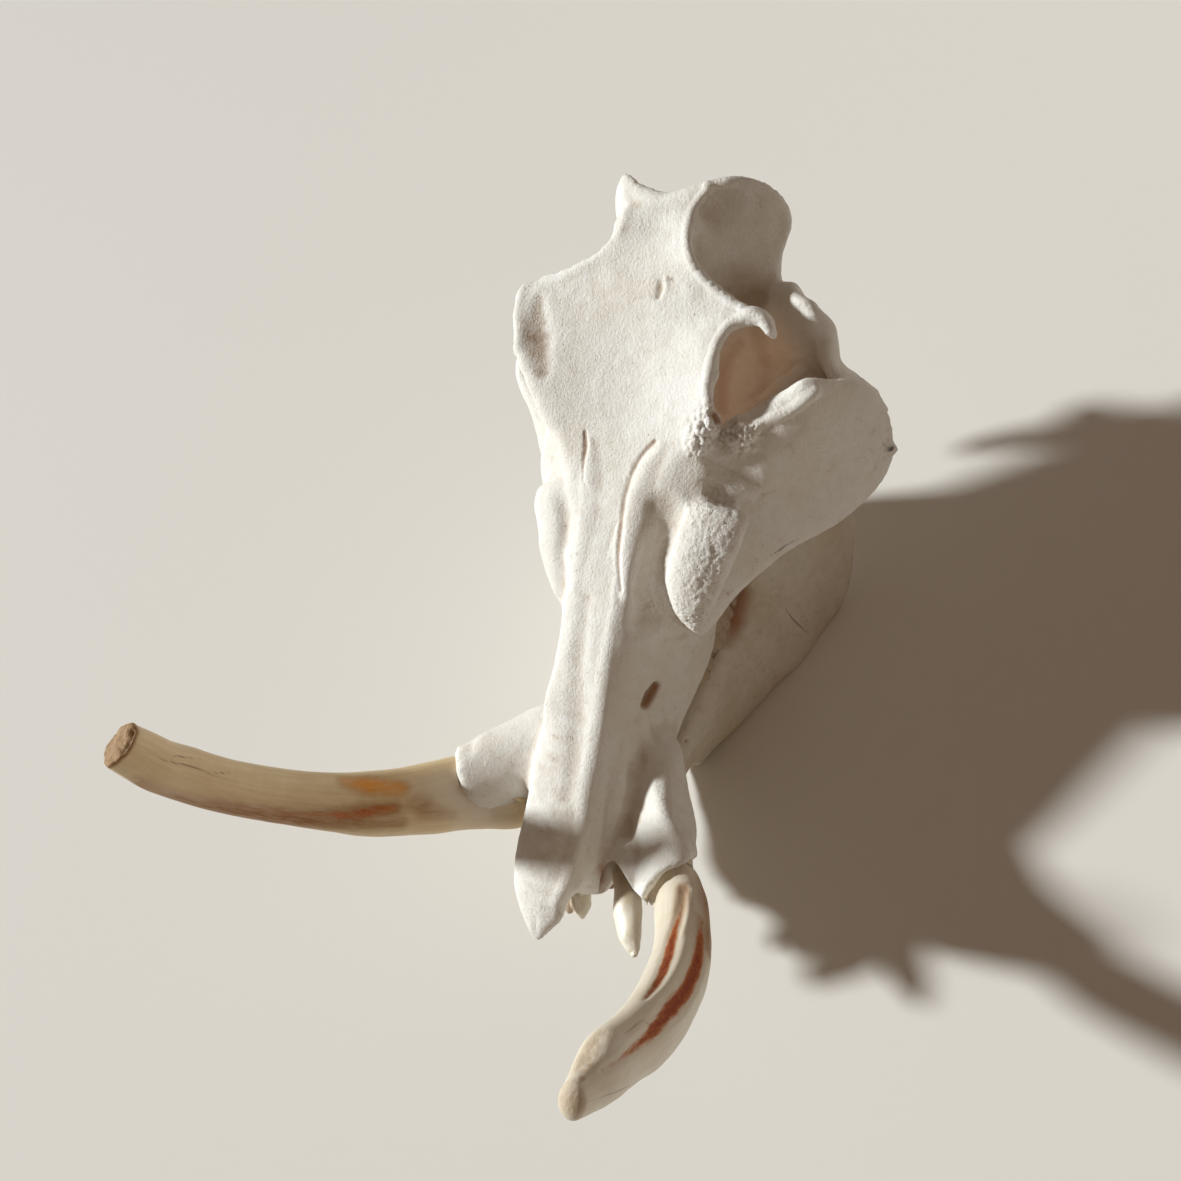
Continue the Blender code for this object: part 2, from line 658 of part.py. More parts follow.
def make_front_teeth(collection, cutters, cranium, mandible, material):
    canine = (LOWER_CANINE, LOWER_CANINE_HALVES)
    make_tooth(
        "lower_canine_left", peg_rings(*canine, 0.0, 10), peg_rings(*canine, FIT_GAP + 0.1, 10),
        mandible, collection, cutters, material,
    )
    incisor_halves = ((3.6, 3.2), (4.4, 3.8), (4.8, 4.0), (3.6, 2.8))
    for name, points in UPPER_INCISORS:
        make_tooth(
            name, peg_rings(points, incisor_halves, 0.0, SMALL_TOOTH_SIDES),
            peg_rings(points, incisor_halves, FIT_GAP, SMALL_TOOTH_SIDES),
            cranium, collection, cutters, material,
        )
    for number, x in enumerate(LOWER_INCISOR_X, start=1):
        for side_name, side in (("left", 1), ("right", -1)):
            points = [(side * x, y, z) for y, z in LOWER_INCISOR_LINE]
            halves = ((3.2, 3.2), (3.6, 3.2), (3.8, 3.0), (3.4, 1.8))
            make_tooth(
                "lower_incisor_%d_%s" % (number, side_name),
                peg_rings(points, halves, 0.0, SMALL_TOOTH_SIDES),
                peg_rings(points, halves, FIT_GAP, SMALL_TOOTH_SIDES),
                mandible, collection, cutters, material,
            )


def centre_over_origin(parts):
    """Move the skull sideways and along, so that the middle of its bounding box stands over the origin."""
    corners = [vertex.co for part in parts for vertex in part.data.vertices]
    for axis in (0, 1):
        places = [corner[axis] for corner in corners]
        for part in parts:
            part.location[axis] = -(min(places) + max(places)) / 2


def main():
    clear_scene()
    parts = new_collection(PARTS_NAME)
    cutters = new_collection(CUTTERS_NAME)
    bone = make_material("bone", (0.80, 0.76, 0.68), 0.62)
    jaw_bone = make_material("jaw_bone", (0.76, 0.71, 0.62), 0.62)
    ivory = make_material("tusk_ivory", (0.66, 0.53, 0.34), 0.35)
    enamel = make_material("tooth_enamel", (0.78, 0.72, 0.58), 0.3)
    cranium = make_cranium(parts, cutters, bone)
    mandible = make_mandible(parts, cutters, jaw_bone)
    make_tusks(parts, cutters, cranium, ivory)
    make_cheek_teeth(parts, cutters, cranium, mandible, enamel)
    make_front_teeth(parts, cutters, cranium, mandible, enamel)
    for bone_object in (cranium, mandible):
        keep_largest_body(bone_object)
    centre_over_origin(parts.objects)


main()
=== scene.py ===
"""Looks of the warthog skull: sculpted bone, ivory tusks, teeth, floor, light and camera.

Shapes are written in millimetres on the skull's own midline, as a maker would measure them, and are
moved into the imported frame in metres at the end. Marks are placed by pixels of the 1181 by 1181
picture as this scene's camera sees it, and lie on the bone that the camera meets there.
"""
import math

import bmesh
import bpy
import numpy as np
from mathutils import Matrix, Vector, noise
from mathutils.bvhtree import BVHTree


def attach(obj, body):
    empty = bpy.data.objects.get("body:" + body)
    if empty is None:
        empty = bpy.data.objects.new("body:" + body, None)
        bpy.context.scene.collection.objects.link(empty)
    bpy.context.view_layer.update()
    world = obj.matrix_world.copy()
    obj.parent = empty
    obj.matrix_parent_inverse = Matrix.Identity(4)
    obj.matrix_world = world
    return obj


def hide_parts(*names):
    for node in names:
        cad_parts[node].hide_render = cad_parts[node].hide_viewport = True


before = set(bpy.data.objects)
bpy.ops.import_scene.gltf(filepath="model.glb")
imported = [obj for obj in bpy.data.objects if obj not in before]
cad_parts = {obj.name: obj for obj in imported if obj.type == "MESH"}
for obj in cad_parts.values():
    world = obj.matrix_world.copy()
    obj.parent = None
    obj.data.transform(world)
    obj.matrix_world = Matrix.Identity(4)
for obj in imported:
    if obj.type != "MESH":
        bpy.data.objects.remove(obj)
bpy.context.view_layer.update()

MM = 0.001
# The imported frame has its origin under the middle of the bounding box
MIDLINE_TO_FRAME = (3.156, 27.298, 0.0)
ALONG_SKULL = (0, 1, 0)
ACROSS_SKULL = (1, 0, 0)
ACROSS_CHEEK = (0.95, 0.27, -0.13)

# Camera of the photograph, in the skull's millimetres
PICTURE = 1181
FOCAL_PIXELS = 988.0
CAMERA_AZIMUTH = 64.83
CAMERA_ELEVATION = 53.73
CAMERA_ROLL = -46.12
CAMERA_TARGET = (-9.8, -24.8, 151.6)
CAMERA_DISTANCE = 495.7
SENSOR = 36.0
# Distances at which a sight line that passes the bone is tried
PASSING_REACHES = range(300, 760, 4)

# Fineness of the bones while they are fused, and the passes that melt their seams
BONE_GRID = 1.95
MELT_PASSES = 10
MEND_PASSES = 3
SPAN_STEPS = 4
ROUND_STEPS = 2
ROOF_STEPS = 7
# A blade's section: share of its height, and of its thickness there
BLADE_SECTION = ((0.0, 0.45), (0.18, 0.95), (0.5, 1.0), (0.82, 0.95), (1.0, 0.45))
# Steps along the course of a tusk where its depth is looked up, and round the end of a tusk or tooth
COURSE_STEPS = 24
CAP_STEPS = 12

RIGHT_ARCH_BREADTH = 0.915
RIGHT_CREST_BREADTH = 0.95
RIGHT_LOBE_BREADTH = 0.8

# Masks painted on the skin; some of them also carry painted shade, and one a painted glow
MASKS = ("stain", "warm", "amber", "pale", "grime", "rough", "hollow", "crack")
# How far the skin must face as a curve does to be pushed or painted, and how softly that ends
FACED = 0.15
PAINT_FACED = -0.2
FACING_BLEND = 0.35
# Weights up to this are too faint to move anything
FAINT = 0.01
# Depth in millimetres at which a hollow counts in full
FULL_HOLLOW = 0.5
# Shares of the width along a curve, and a weight for the whole piece
EVEN = (1.0, 1.0)
CRACK_TAPER = (0.5, 1.0, 0.5)
EVERYWHERE = 1.0
# Size in millimetres, height and octaves of the unevenness of a whole piece
BONE_SWELLS = (15.0, 0.35, 2)
BONE_RIPPLES = (5.0, 0.12, 2)
IVORY_SWELLS = (22.0, 0.3, 2)

FLOOR_BREADTH = 12.0
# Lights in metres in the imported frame, all turned to the middle of the skull
LIT_PLACE = (0.0, 0.0, 0.12)
LIGHTS = (
    ("key_light", "SUN", (-1.15, -0.31, 0.95), 4.45, "#F5FAFC", {"angle": math.radians(5)}),
    ("fill_light", "AREA", (1.0, -0.9, 0.9), 0.8, "#FFDDBE", {"size": 1.4}),
    ("back_light", "AREA", (0.4, 1.2, 0.9), 1.0, "#FFF6EC", {"size": 1.0}),
)


# Lofts
def flow(stations, steps=SPAN_STEPS, closed=False):
    """Catmull-Rom curve through the stations on the first axis of an array."""
    stations = np.asarray(stations, float)
    if closed:
        padded = np.concatenate([stations[-1:], stations, stations[:2]])
    else:
        before = 2 * stations[:1] - stations[1:2]
        after = 2 * stations[-1:] - stations[-2:-1]
        padded = np.concatenate([before, stations, after])
    a, b, c, d = padded[:-3], padded[1:-2], padded[2:-1], padded[3:]
    share = (np.arange(steps) / steps).reshape((1, steps) + (1,) * (stations.ndim - 1))
    a, b, c, d = (part[:, None] for part in (a, b, c, d))
    curve = 0.5 * (
        2 * b + (c - a) * share + (2 * a - 5 * b + 4 * c - d) * share ** 2
        + (3 * b - a - 3 * c + d) * share ** 3
    )
    curve = curve.reshape((-1,) + stations.shape[1:])
    return curve if closed else np.concatenate([curve, stations[-1:]])


def mirrored(points, breadth=1.0):
    return np.asarray(points, float) * (-breadth, 1.0, 1.0)


def tangents(points):
    steps = np.gradient(np.asarray(points, float), axis=0)
    return steps / np.linalg.norm(steps, axis=1, keepdims=True)


def axes_across(forward, long_hint):
    """The two axes across a line, the long one as near to the hint as the line allows."""
    long_axis = np.array(long_hint, float) - forward * np.dot(forward, long_hint)
    long_axis /= np.linalg.norm(long_axis)
    return long_axis, np.cross(forward, long_axis)


def section_rings(stations):
    """Rings of the snout and the brain case from half profiles, top midline to bottom midline."""
    rings = []
    for y, half_profile in stations:
        left = [(x, y, z) for x, z in half_profile]
        rings.append(left + [tuple(point) for point in mirrored(left[-2:0:-1])])
    return np.array(rings, float)


def roof_side(y, edge, middle_z, edge_thickness, middle_thickness):
    """Half ring of an arched or dished plate, from the top midline round its edge to the bottom."""
    half_width, edge_z = edge
    share = np.linspace(0, 1, ROOF_STEPS)
    top_z = middle_z + (edge_z - middle_z) * share ** 1.7
    thickness = middle_thickness + (edge_thickness - middle_thickness) * share
    edge_round = np.where(share == 1, 0.32 * thickness, 0)
    level = np.full(ROOF_STEPS, y)
    top = np.stack([half_width * share, level, top_z - edge_round], axis=1)
    bottom = np.stack([half_width * share * 0.985, level, top_z - thickness + edge_round], axis=1)
    return np.concatenate([top, bottom[::-1]])


def roof_rings(stations):
    rings = []
    for y, left_edge, right_edge, middle_z, edge_thickness, middle_thickness in stations:
        left = roof_side(y, left_edge, middle_z, edge_thickness, middle_thickness)
        right = roof_side(y, right_edge, middle_z, edge_thickness, middle_thickness)
        rings.append(np.concatenate([left, mirrored(right[-2:0:-1])]))
    return np.array(rings)


def plate_rings(stations):
    """Rings of a blade of bone from stations of top, bottom, top thickness and bottom thickness."""
    tops = np.array([station[0] for station in stations], float)
    bottoms = np.array([station[1] for station in stations], float)
    across = np.cross(tangents((tops + bottoms) / 2), bottoms - tops)
    across /= np.linalg.norm(across, axis=1, keepdims=True)
    rings = []
    for top, bottom, side, (_, _, top_thickness, bottom_thickness) in zip(tops, bottoms, across, stations):
        faces = []
        for share, fullness in BLADE_SECTION:
            thickness = top_thickness + (bottom_thickness - top_thickness) * share
            faces.append((top + (bottom - top) * share, side * 0.5 * thickness * fullness))
        rings.append([middle + half for middle, half in faces] + [middle - half for middle, half in faces[::-1]])
    return np.array(rings)


def spanned_rings(stations, sides=18):
    """Oval rings from stations of a centre and the two half axes of the oval."""
    turn = np.linspace(0, 2 * np.pi, sides, endpoint=False)[:, None]
    return np.array([
        np.array(centre, float) + np.cos(turn) * long_half + np.sin(turn) * short_half
        for centre, long_half, short_half in (map(np.array, station) for station in stations)
    ])


def tube_rings(centres, long_halves, short_halves, long_hint=ALONG_SKULL, sides=14):
    """Oval rings across a centre line, their long axes as near to the hint as the line allows."""
    stations = []
    for centre, forward, long_half, short_half in zip(centres, tangents(centres), long_halves, short_halves):
        long_axis, short_axis = axes_across(forward, long_hint)
        stations.append((centre, long_axis * long_half, short_axis * short_half))
    return spanned_rings(stations, sides)


def tube_from_stations(stations, long_hint=ALONG_SKULL):
    centres, long_halves, short_halves = zip(*stations)
    return tube_rings(centres, long_halves, short_halves, long_hint)


def skin_rings(builder, rings):
    """Skin the rings one after another; gives their loops of points and the faces."""
    loops = [[builder.verts.new(point) for point in ring] for ring in rings]
    faces = []
    for near, far in zip(loops, loops[1:]):
        for index in range(len(near)):
            following = (index + 1) % len(near)
            faces.append(builder.faces.new((near[index], near[following], far[following], far[index])))
    return loops, faces


def add_loft(builder, rings):
    """Add one closed skin through the rings, made to flow both along and around."""
    rings = np.swapaxes(flow(np.swapaxes(flow(rings), 0, 1), ROUND_STEPS, closed=True), 0, 1)
    loops, faces = skin_rings(builder, rings)
    for loop in (loops[0][::-1], loops[-1]):
        centre = builder.verts.new(sum((vertex.co for vertex in loop), Vector()) / len(loop))
        for index in range(len(loop)):
            faces.append(builder.faces.new((loop[index], loop[(index + 1) % len(loop)], centre)))
    bmesh.ops.recalc_face_normals(builder, faces=faces)


def both_sides(builder, rings, right_breadth=1.0):
    add_loft(builder, rings)
    add_loft(builder, mirrored(rings, right_breadth))


def both_ellipsoids(builder, centre, radii):
    for side in (1, -1):
        ball = bmesh.ops.create_uvsphere(builder, u_segments=24, v_segments=16, radius=1.0)
        for vertex in ball["verts"]:
            vertex.co = [vertex.co[axis] * radii[axis] + centre[axis] * (side, 1, 1)[axis] for axis in range(3)]


def object_from_builder(name, builder):
    mesh = bpy.data.meshes.new(name)
    builder.to_mesh(mesh)
    builder.free()
    new_object = bpy.data.objects.new(name, mesh)
    bpy.context.scene.collection.objects.link(new_object)
    return new_object


def apply_modifier(target, kind, **settings):
    """Add one modifier with its settings and apply it."""
    modifier = target.modifiers.new(kind.lower(), kind)
    for name, value in settings.items():
        setattr(modifier, name, value)
    bpy.ops.object.select_all(action="DESELECT")
    bpy.context.view_layer.objects.active = target
    target.select_set(True)
    bpy.ops.object.modifier_apply(modifier=modifier.name)


def fuse(target, passes):
    """Grow overlapping lofts into one skin of bone and melt the seams."""
    apply_modifier(target, "REMESH", mode="VOXEL", voxel_size=BONE_GRID)
    apply_modifier(target, "SMOOTH", factor=0.5, iterations=passes)


def carve(target, rings):
    """Cut a smooth hollow through the bone."""
    builder = bmesh.new()
    add_loft(builder, rings)
    cutter = object_from_builder("cutter", builder)
    apply_modifier(target, "BOOLEAN", operation="DIFFERENCE", solver="MANIFOLD", object=cutter)
    bpy.data.objects.remove(cutter, do_unlink=True)


# Bones
# Stations of y and of a half profile, from the top midline to the bottom midline
SNOUT_AND_BRAINCASE = (
    (-168, ((0, 93), (9, 91), (13, 88), (13, 84), (11, 81),
     (9, 79), (6, 78), (4, 77), (2, 77), (0, 77))),
    (-160, ((0, 98), (16, 96), (19, 91), (19.5, 84), (19, 77),
     (18, 72), (15, 68), (10, 66), (5, 66), (0, 66))),
    (-145, ((0, 106), (19, 104), (23, 98), (25, 90), (24, 80),
     (23, 71), (20, 65), (14, 63), (7, 64), (0, 65))),
    (-120, ((0, 120), (18, 118), (24, 112), (29, 104), (32, 92),
     (33, 82), (29, 73), (20, 70), (10, 71), (0, 73))),
    (-95, ((0, 134), (17, 133), (22, 127), (27, 117), (31, 104),
     (33, 92), (31, 80), (24, 76), (12, 77), (0, 79))),
    (-66, ((0, 147), (17, 146), (22, 140), (26, 130), (29, 116),
     (32, 102), (32, 90), (30, 82), (13, 82), (0, 85))),
    (-40, ((0, 158), (17, 157), (23, 151), (28, 142), (31, 129),
     (33, 113), (34, 98), (34, 85), (12, 84), (0, 89))),
    (-20, ((0, 167), (18, 166), (26, 160), (33, 150), (38, 139),
     (38, 129), (36, 112), (35, 87), (12, 86), (0, 92))),
    (0, ((0, 176), (20, 176), (30, 170), (40, 160), (48, 149),
     (48, 138), (38, 118), (32, 93), (12, 89), (0, 94))),
    (20, ((0, 183), (22, 184), (34, 182), (46, 172), (57, 158),
     (58, 146), (42, 124), (32, 96), (13, 92), (0, 98))),
    (38, ((0, 189), (24, 191), (37, 193), (53, 188), (64, 174),
     (66, 156), (48, 130), (31, 98), (14, 95), (0, 101))),
    (50, ((0, 194), (26, 197), (38, 198), (47, 188), (50, 170),
     (49, 152), (38, 126), (28, 102), (13, 98), (0, 103))),
    (62, ((0, 199), (26, 202), (33, 199), (33, 190), (40, 174),
     (46, 160), (36, 136), (24, 106), (12, 102), (0, 105))),
    (80, ((0, 207), (26, 209), (32, 206), (33, 196), (37, 180),
     (44, 164), (33, 142), (22, 118), (12, 110), (0, 110))),
    (100, ((0, 216), (24, 220), (28, 214), (29, 202), (34, 184),
     (42, 168), (34, 148), (24, 127), (12, 116), (0, 116))),
    (120, ((0, 230), (20, 236), (23, 228), (26, 210), (31, 190),
     (38, 172), (38, 152), (30, 133), (14, 122), (0, 122))),
    (136, ((0, 238), (21, 239), (26, 228), (30, 210), (34, 190),
     (38, 172), (38, 152), (28, 137), (12, 128), (0, 128))),
    (148, ((0, 230), (14, 228), (20, 215), (26, 200), (31, 185),
     (33, 168), (32, 152), (24, 141), (12, 133), (0, 132))),
)
# Stations of y, left edge, right edge, height at the middle, edge and middle thickness
NASAL_ROOF = (
    (-193.5, (0.5, 83.5), (2.5, 83.5), 84, 5, 5.5),
    (-187, (5, 88.5), (9.5, 88), 90.5, 7.5, 8.5),
    (-179, (11, 93), (16.5, 92.5), 96.5, 7, 9),
    (-168, (18.5, 98), (22, 97), 102.5, 8, 10),
    (-155, (21.5, 104), (24, 102.5), 109, 9, 11),
    (-140, (21.5, 110), (23, 109), 115.5, 10, 12),
    (-120, (20, 120.5), (20, 120.5), 124.5, 9, 12),
    (-90, (18, 134.5), (18, 134.5), 137.5, 8, 12),
)
FOREHEAD = (
    (10, (25, 178), (25, 178), 181, 10, 14),
    (30, (36, 192), (38, 192), 189, 12, 14),
    (44, (46, 202), (50, 204), 196, 12, 14),
    (56, (50, 210), (59, 212), 201, 12, 13),
    (67, (49, 215), (67, 218), 206, 12, 12),
    (79, (45, 218), (72, 222), 211, 10, 12),
    (88, (46.5, 219), (75, 224), 215, 8, 12),
    (94, (54, 218), (75.5, 225), 217.5, 7, 12),
    (99, (60, 216.5), (76, 226), 220, 7, 12),
    (104, (50, 219), (74, 226), 222, 9, 12),
    (109, (34, 230), (63, 227), 226, 10, 12),
    (115, (26, 236), (36, 235), 231, 10, 12),
    (124, (22, 239), (24, 239), 235, 8, 12),
)
# Stations of upper edge, lower edge and the two thicknesses
ZYGOMATIC_ARCH = (
    ((30, -30, 140), (44, -27, 124), 8, 8),
    ((31, -18, 149), (50, -16, 127), 10, 11),
    ((34, -4, 159), (56, -5, 132), 12, 12),
    ((38, 12, 168), (64, 10, 132), 12, 12),
    ((44, 30, 178), (74, 27, 130), 12, 12),
    ((52, 46, 187), (85, 42, 125), 17, 13),
    ((63, 58, 189), (95, 58, 123), 23, 13),
    ((74, 70, 193), (105, 73, 129), 20, 12),
    ((82, 79, 199), (109.5, 84, 140), 12, 10),
    ((88, 89, 183), (106, 92, 149), 12, 10),
    ((88, 96, 171), (97, 99, 151), 10, 9),
)
SQUAMOSAL = (
    ((87, 88, 178), (97, 91, 150), 10, 9),
    ((84, 98, 184), (89, 101, 150), 11, 9),
    ((80, 107, 191), (83, 109, 154), 12, 10),
    ((75, 113, 203), (71, 110, 158), 9, 18),
    ((65, 122, 206), (57, 112, 156), 9, 26),
    ((51, 135, 193), (44, 114, 152), 12, 32),
    ((32, 136, 184), (28, 112, 150), 14, 32),
)
ORBIT_FLOOR = (
    ((34, 50, 176), (72, 50, 164), 16, 16),
    ((34, 62, 166), (80, 62, 160), 12, 14),
    ((36, 74, 160), (88, 75, 154), 10, 12),
    ((38, 86, 158), (92, 88, 154), 10, 10),
    ((38, 100, 160), (88, 100, 158), 12, 12),
)
NUCHAL_CREST = (
    ((0, 146, 240), (0, 128, 224), 7, 12),
    ((14, 150, 241.5), (10, 129, 223), 7, 12),
    ((27, 154, 241), (17, 130, 218), 7, 12),
    ((37, 160, 234), (21, 132, 211), 6, 13),
    ((46, 163, 222), (24, 133, 203), 6, 14),
    ((50, 161, 207), (26, 133, 195), 6, 15),
    ((46, 152, 196), (28, 132, 187), 6, 16),
    ((44, 144, 186), (30, 130, 179), 8, 16),
    ((47, 137, 178), (32, 126, 170), 10, 16),
)
PTERYGOID_PLATE = (
    ((14, 52, 112), (13, 50, 88), 6, 5),
    ((15, 66, 118), (15, 64, 90), 6, 4),
    ((17, 80, 122), (19, 79, 98), 6, 4),
    ((18, 92, 126), (21, 92, 110), 6, 5),
)
JAW_BRANCH = (
    ((19, -74, 61), (13, -70, 9), 12, 12),
    ((22, -55, 63), (17, -52, 1), 18, 14),
    ((23, -35, 65), (25, -33, -0.6), 20, 14),
    ((23, -15, 65), (34, -14, -1), 20, 14),
    ((25, 8, 68), (44, 8, -1), 20, 13),
    ((31, 27, 74), (53, 27, -1), 17, 11),
    ((41, 43, 102), (60, 46, 0), 11, 9),
    ((48, 56, 122), (64, 61, 8), 9, 8),
    ((53, 74, 131), (65, 76, 22), 8, 8),
    ((56, 90, 135), (65, 86, 44), 9, 9),
    ((57, 98, 134), (62, 95, 84), 9, 9),
)
# Stations of centre and the two half axes of the oval
LEFT_TUSK_SLEEVE = (
    ((24, -88, 92), (4, 20, 4), (6, -1, -15)),
    ((38, -102, 92), (8, 22, 8), (10, -1, -16)),
    ((47.5, -115, 93), (9.5, 21, 10), (10.2, -1.3, -12.6)),
    ((55.5, -129, 99), (8, 18.5, 9), (8, -1.1, -10.4)),
    ((65, -141, 109), (7, 18, 7.5), (8.2, 1.5, -11.4)),
    ((72, -147.5, 116), (6.5, 16.5, 7), (8.2, 1.5, -11.6)),
)
LEFT_SOCKET_WALL = (
    ((28, -128, 84), (3, 13, 5), (9, -1, -9)),
    ((37, -139, 91), (3, 13, 5), (9, -1, -9)),
    ((48, -149, 100), (3, 10, 5), (7.5, -1, -7.5)),
)
RIGHT_TUSK_SLEEVE = (
    ((-24, -88, 92), (-4, 20, 4), (-6, -1, -15)),
    ((-38, -102, 93), (-8, 21, 8), (-10, -1, -17)),
    ((-50, -114, 95), (-9, 18.5, 9.5), (-13, -1.5, -16.5)),
    ((-58.5, -123, 98.5), (-9, 17, 10.5), (-14.5, -1.5, -15)),
    ((-67, -131, 103.5), (-8.5, 15.5, 10), (-14, -1.3, -13.5)),
    ((-71.5, -135, 108), (-7.5, 14, 9), (-12, -1.1, -12)),
)
# Shapes on the picture, in pixels, that are cut away where the tusks leave the bone, with the place of the
# socket and how far in front of it and behind it the cut reaches
LEFT_SOCKET_CUT = (
    ((706, 846), (697, 857), (681, 867), (665, 876), (656, 890), (647, 906), (648, 960), (735, 960), (735, 846)),
    (66, -141, 109), (-45, -15, 15, 45),
)
RIGHT_SOCKET_CUT = (
    ((380, 690), (450, 736), (455, 754), (456, 772), (460, 787), (471, 803), (481, 808), (496, 811), (507, 812),
     (511, 818), (508, 850), (380, 850)),
    (-66, -134, 103), (-45, -15, 8, 24),
)
# Stations of centre, half length and half width
POSTORBITAL_PROCESS = (
    ((52, 98, 215), 6, 4.5),
    ((58, 98, 215), 5, 3.8),
    ((62.5, 96, 213), 4.2, 3.4),
    ((65, 92.5, 210), 3.4, 3.0),
    ((65.5, 89.5, 207.5), 2.6, 2.4),
)
PAROCCIPITAL_PROCESS = (
    ((34, 132, 158), 11, 8),
    ((37, 134, 138), 10, 6),
    ((38, 133, 116), 8, 4.5),
    ((36, 130, 97), 5, 3.5),
)
# Lobe of the cheek that hangs over the muzzle, long axis across it
CHEEK_LOBE = (
    ((56, 21, 174), 12, 5),
    ((53.5, 11, 172), 15.5, 7),
    ((50.5, 1, 168), 15.5, 8),
    ((48, -9, 161.5), 14.5, 8),
    ((47, -18, 154.5), 12, 7),
    ((47.5, -24.5, 145), 7.5, 5),
    ((49, -28, 136), 2.5, 2.2),
)
# Hollow of the orbit under the brow, long axis across the skull
ORBIT_HOLLOW = (
    ((50, 61, 195), 6, 6),
    ((48, 68, 197), 12.5, 10),
    ((48, 79, 199), 14.5, 12),
    ((49, 90, 200), 14, 11),
    ((50, 101, 199), 8, 8),
)
NASAL_APERTURE = (
    ((0, -202, 66), 13, 8),
    ((0, -180, 79), 12, 8.5),
    ((0, -158, 86), 13, 11),
    ((0, -135, 92), 12, 13),
    ((0, -110, 102), 9, 12),
)
FORAMEN_MAGNUM = (
    ((0, 172, 142), 12, 11),
    ((0, 146, 147), 12, 11),
    ((0, 122, 156), 15, 14),
    ((0, 106, 164), 9, 9),
)
# Rounded lumps: centre on the left side and the three radii
EAR_BULB = ((15, 150, 131), (11, 12, 11))
JAW_SOCKET = ((58, 103, 159), (23, 15, 9))
JAW_CONDYLE = ((57, 98, 137), (15, 8, 7))
# The lower jaw's front, in the same half profiles as the snout
SYMPHYSIS = (
    (-149, ((0, 56), (12, 57), (23, 59), (27, 56), (23, 52), (12, 49), (0, 48))),
    (-136, ((0, 52), (14, 55), (30, 63), (38, 60), (33, 50), (14, 40), (0, 38))),
    (-118, ((0, 50), (12, 54), (28, 67), (37, 60), (32, 47), (13, 32), (0, 29))),
    (-86, ((0, 46), (11, 51), (20, 63), (26, 56), (22, 38), (11, 17), (0, 13))),
    (-60, ((0, 40), (11, 49), (20, 62), (27, 56), (24, 36), (10, 5), (0, 1))),
    (-44, ((0, 14), (9, 18), (15, 26), (20, 22), (19, 13), (10, 2), (0, 1))),
)


def make_cranium():
    builder = bmesh.new()
    add_loft(builder, section_rings(SNOUT_AND_BRAINCASE))
    add_loft(builder, roof_rings(NASAL_ROOF))
    add_loft(builder, roof_rings(FOREHEAD))
    for stations, right_breadth in (
        (ZYGOMATIC_ARCH, RIGHT_ARCH_BREADTH), (SQUAMOSAL, RIGHT_ARCH_BREADTH), (ORBIT_FLOOR, RIGHT_ARCH_BREADTH),
        (NUCHAL_CREST, RIGHT_CREST_BREADTH), (PTERYGOID_PLATE, 1.0),
    ):
        both_sides(builder, plate_rings(stations), right_breadth)
    both_sides(builder, tube_from_stations(POSTORBITAL_PROCESS))
    both_sides(builder, tube_from_stations(PAROCCIPITAL_PROCESS))
    for sleeve in (LEFT_TUSK_SLEEVE, RIGHT_TUSK_SLEEVE, LEFT_SOCKET_WALL):
        add_loft(builder, spanned_rings(sleeve))
    both_sides(builder, tube_from_stations(CHEEK_LOBE, ACROSS_CHEEK), RIGHT_LOBE_BREADTH)
    both_ellipsoids(builder, *EAR_BULB)
    both_ellipsoids(builder, *JAW_SOCKET)
    cranium = object_from_builder("cranium_bone", builder)
    fuse(cranium, MELT_PASSES)
    orbit = tube_from_stations(ORBIT_HOLLOW, ACROSS_SKULL)
    for hollow in (
        tube_from_stations(NASAL_APERTURE, ACROSS_SKULL), tube_from_stations(FORAMEN_MAGNUM, ACROSS_SKULL),
        orbit, mirrored(orbit), drawn_through(*LEFT_SOCKET_CUT), drawn_through(*RIGHT_SOCKET_CUT),
    ):
        carve(cranium, hollow)
    fuse(cranium, MEND_PASSES)
    return cranium


def make_mandible():
    builder = bmesh.new()
    add_loft(builder, section_rings(SYMPHYSIS))
    both_sides(builder, plate_rings(JAW_BRANCH))
    both_ellipsoids(builder, *JAW_CONDYLE)
    mandible = object_from_builder("mandible_bone", builder)
    fuse(mandible, MELT_PASSES)
    return mandible


# Camera and the marks that are laid on the bone by it
def camera_axes():
    azimuth, elevation, roll = (math.radians(a) for a in (CAMERA_AZIMUTH, CAMERA_ELEVATION, CAMERA_ROLL))
    back = Vector((
        math.sin(azimuth) * math.cos(elevation), -math.cos(azimuth) * math.cos(elevation), math.sin(elevation),
    ))
    level = Vector((math.cos(azimuth), math.sin(azimuth), 0))
    upright = back.cross(level)
    right = math.cos(roll) * level + math.sin(roll) * upright
    up = -math.sin(roll) * level + math.cos(roll) * upright
    return right, up, back


RIGHT, UP, BACK = camera_axes()
EYE = Vector(CAMERA_TARGET) + BACK * CAMERA_DISTANCE


def sight_line(pixel):
    """Direction from the camera through a pixel of the picture."""
    across = (pixel[0] - PICTURE / 2) / FOCAL_PIXELS
    down = (pixel[1] - PICTURE / 2) / FOCAL_PIXELS
    return (RIGHT * across - UP * down - BACK).normalized()


def drawn_through(corners, place, reaches):
    """Rings of a shape drawn on the picture, carried along the sight lines past a place."""
    depth = (EYE - Vector(place)).dot(BACK)
    lines = [sight_line(corner) for corner in corners]
    return np.array([[EYE + line * ((depth - reach) / -line.dot(BACK)) for line in lines] for reach in reaches])


def soft_edge(offset, radius):
    """Weight of each place, 1 at no offset and 0 at the radius."""
    return np.clip(1 - (np.linalg.norm(offset, axis=1) / radius) ** 2, 0, 1) ** 2


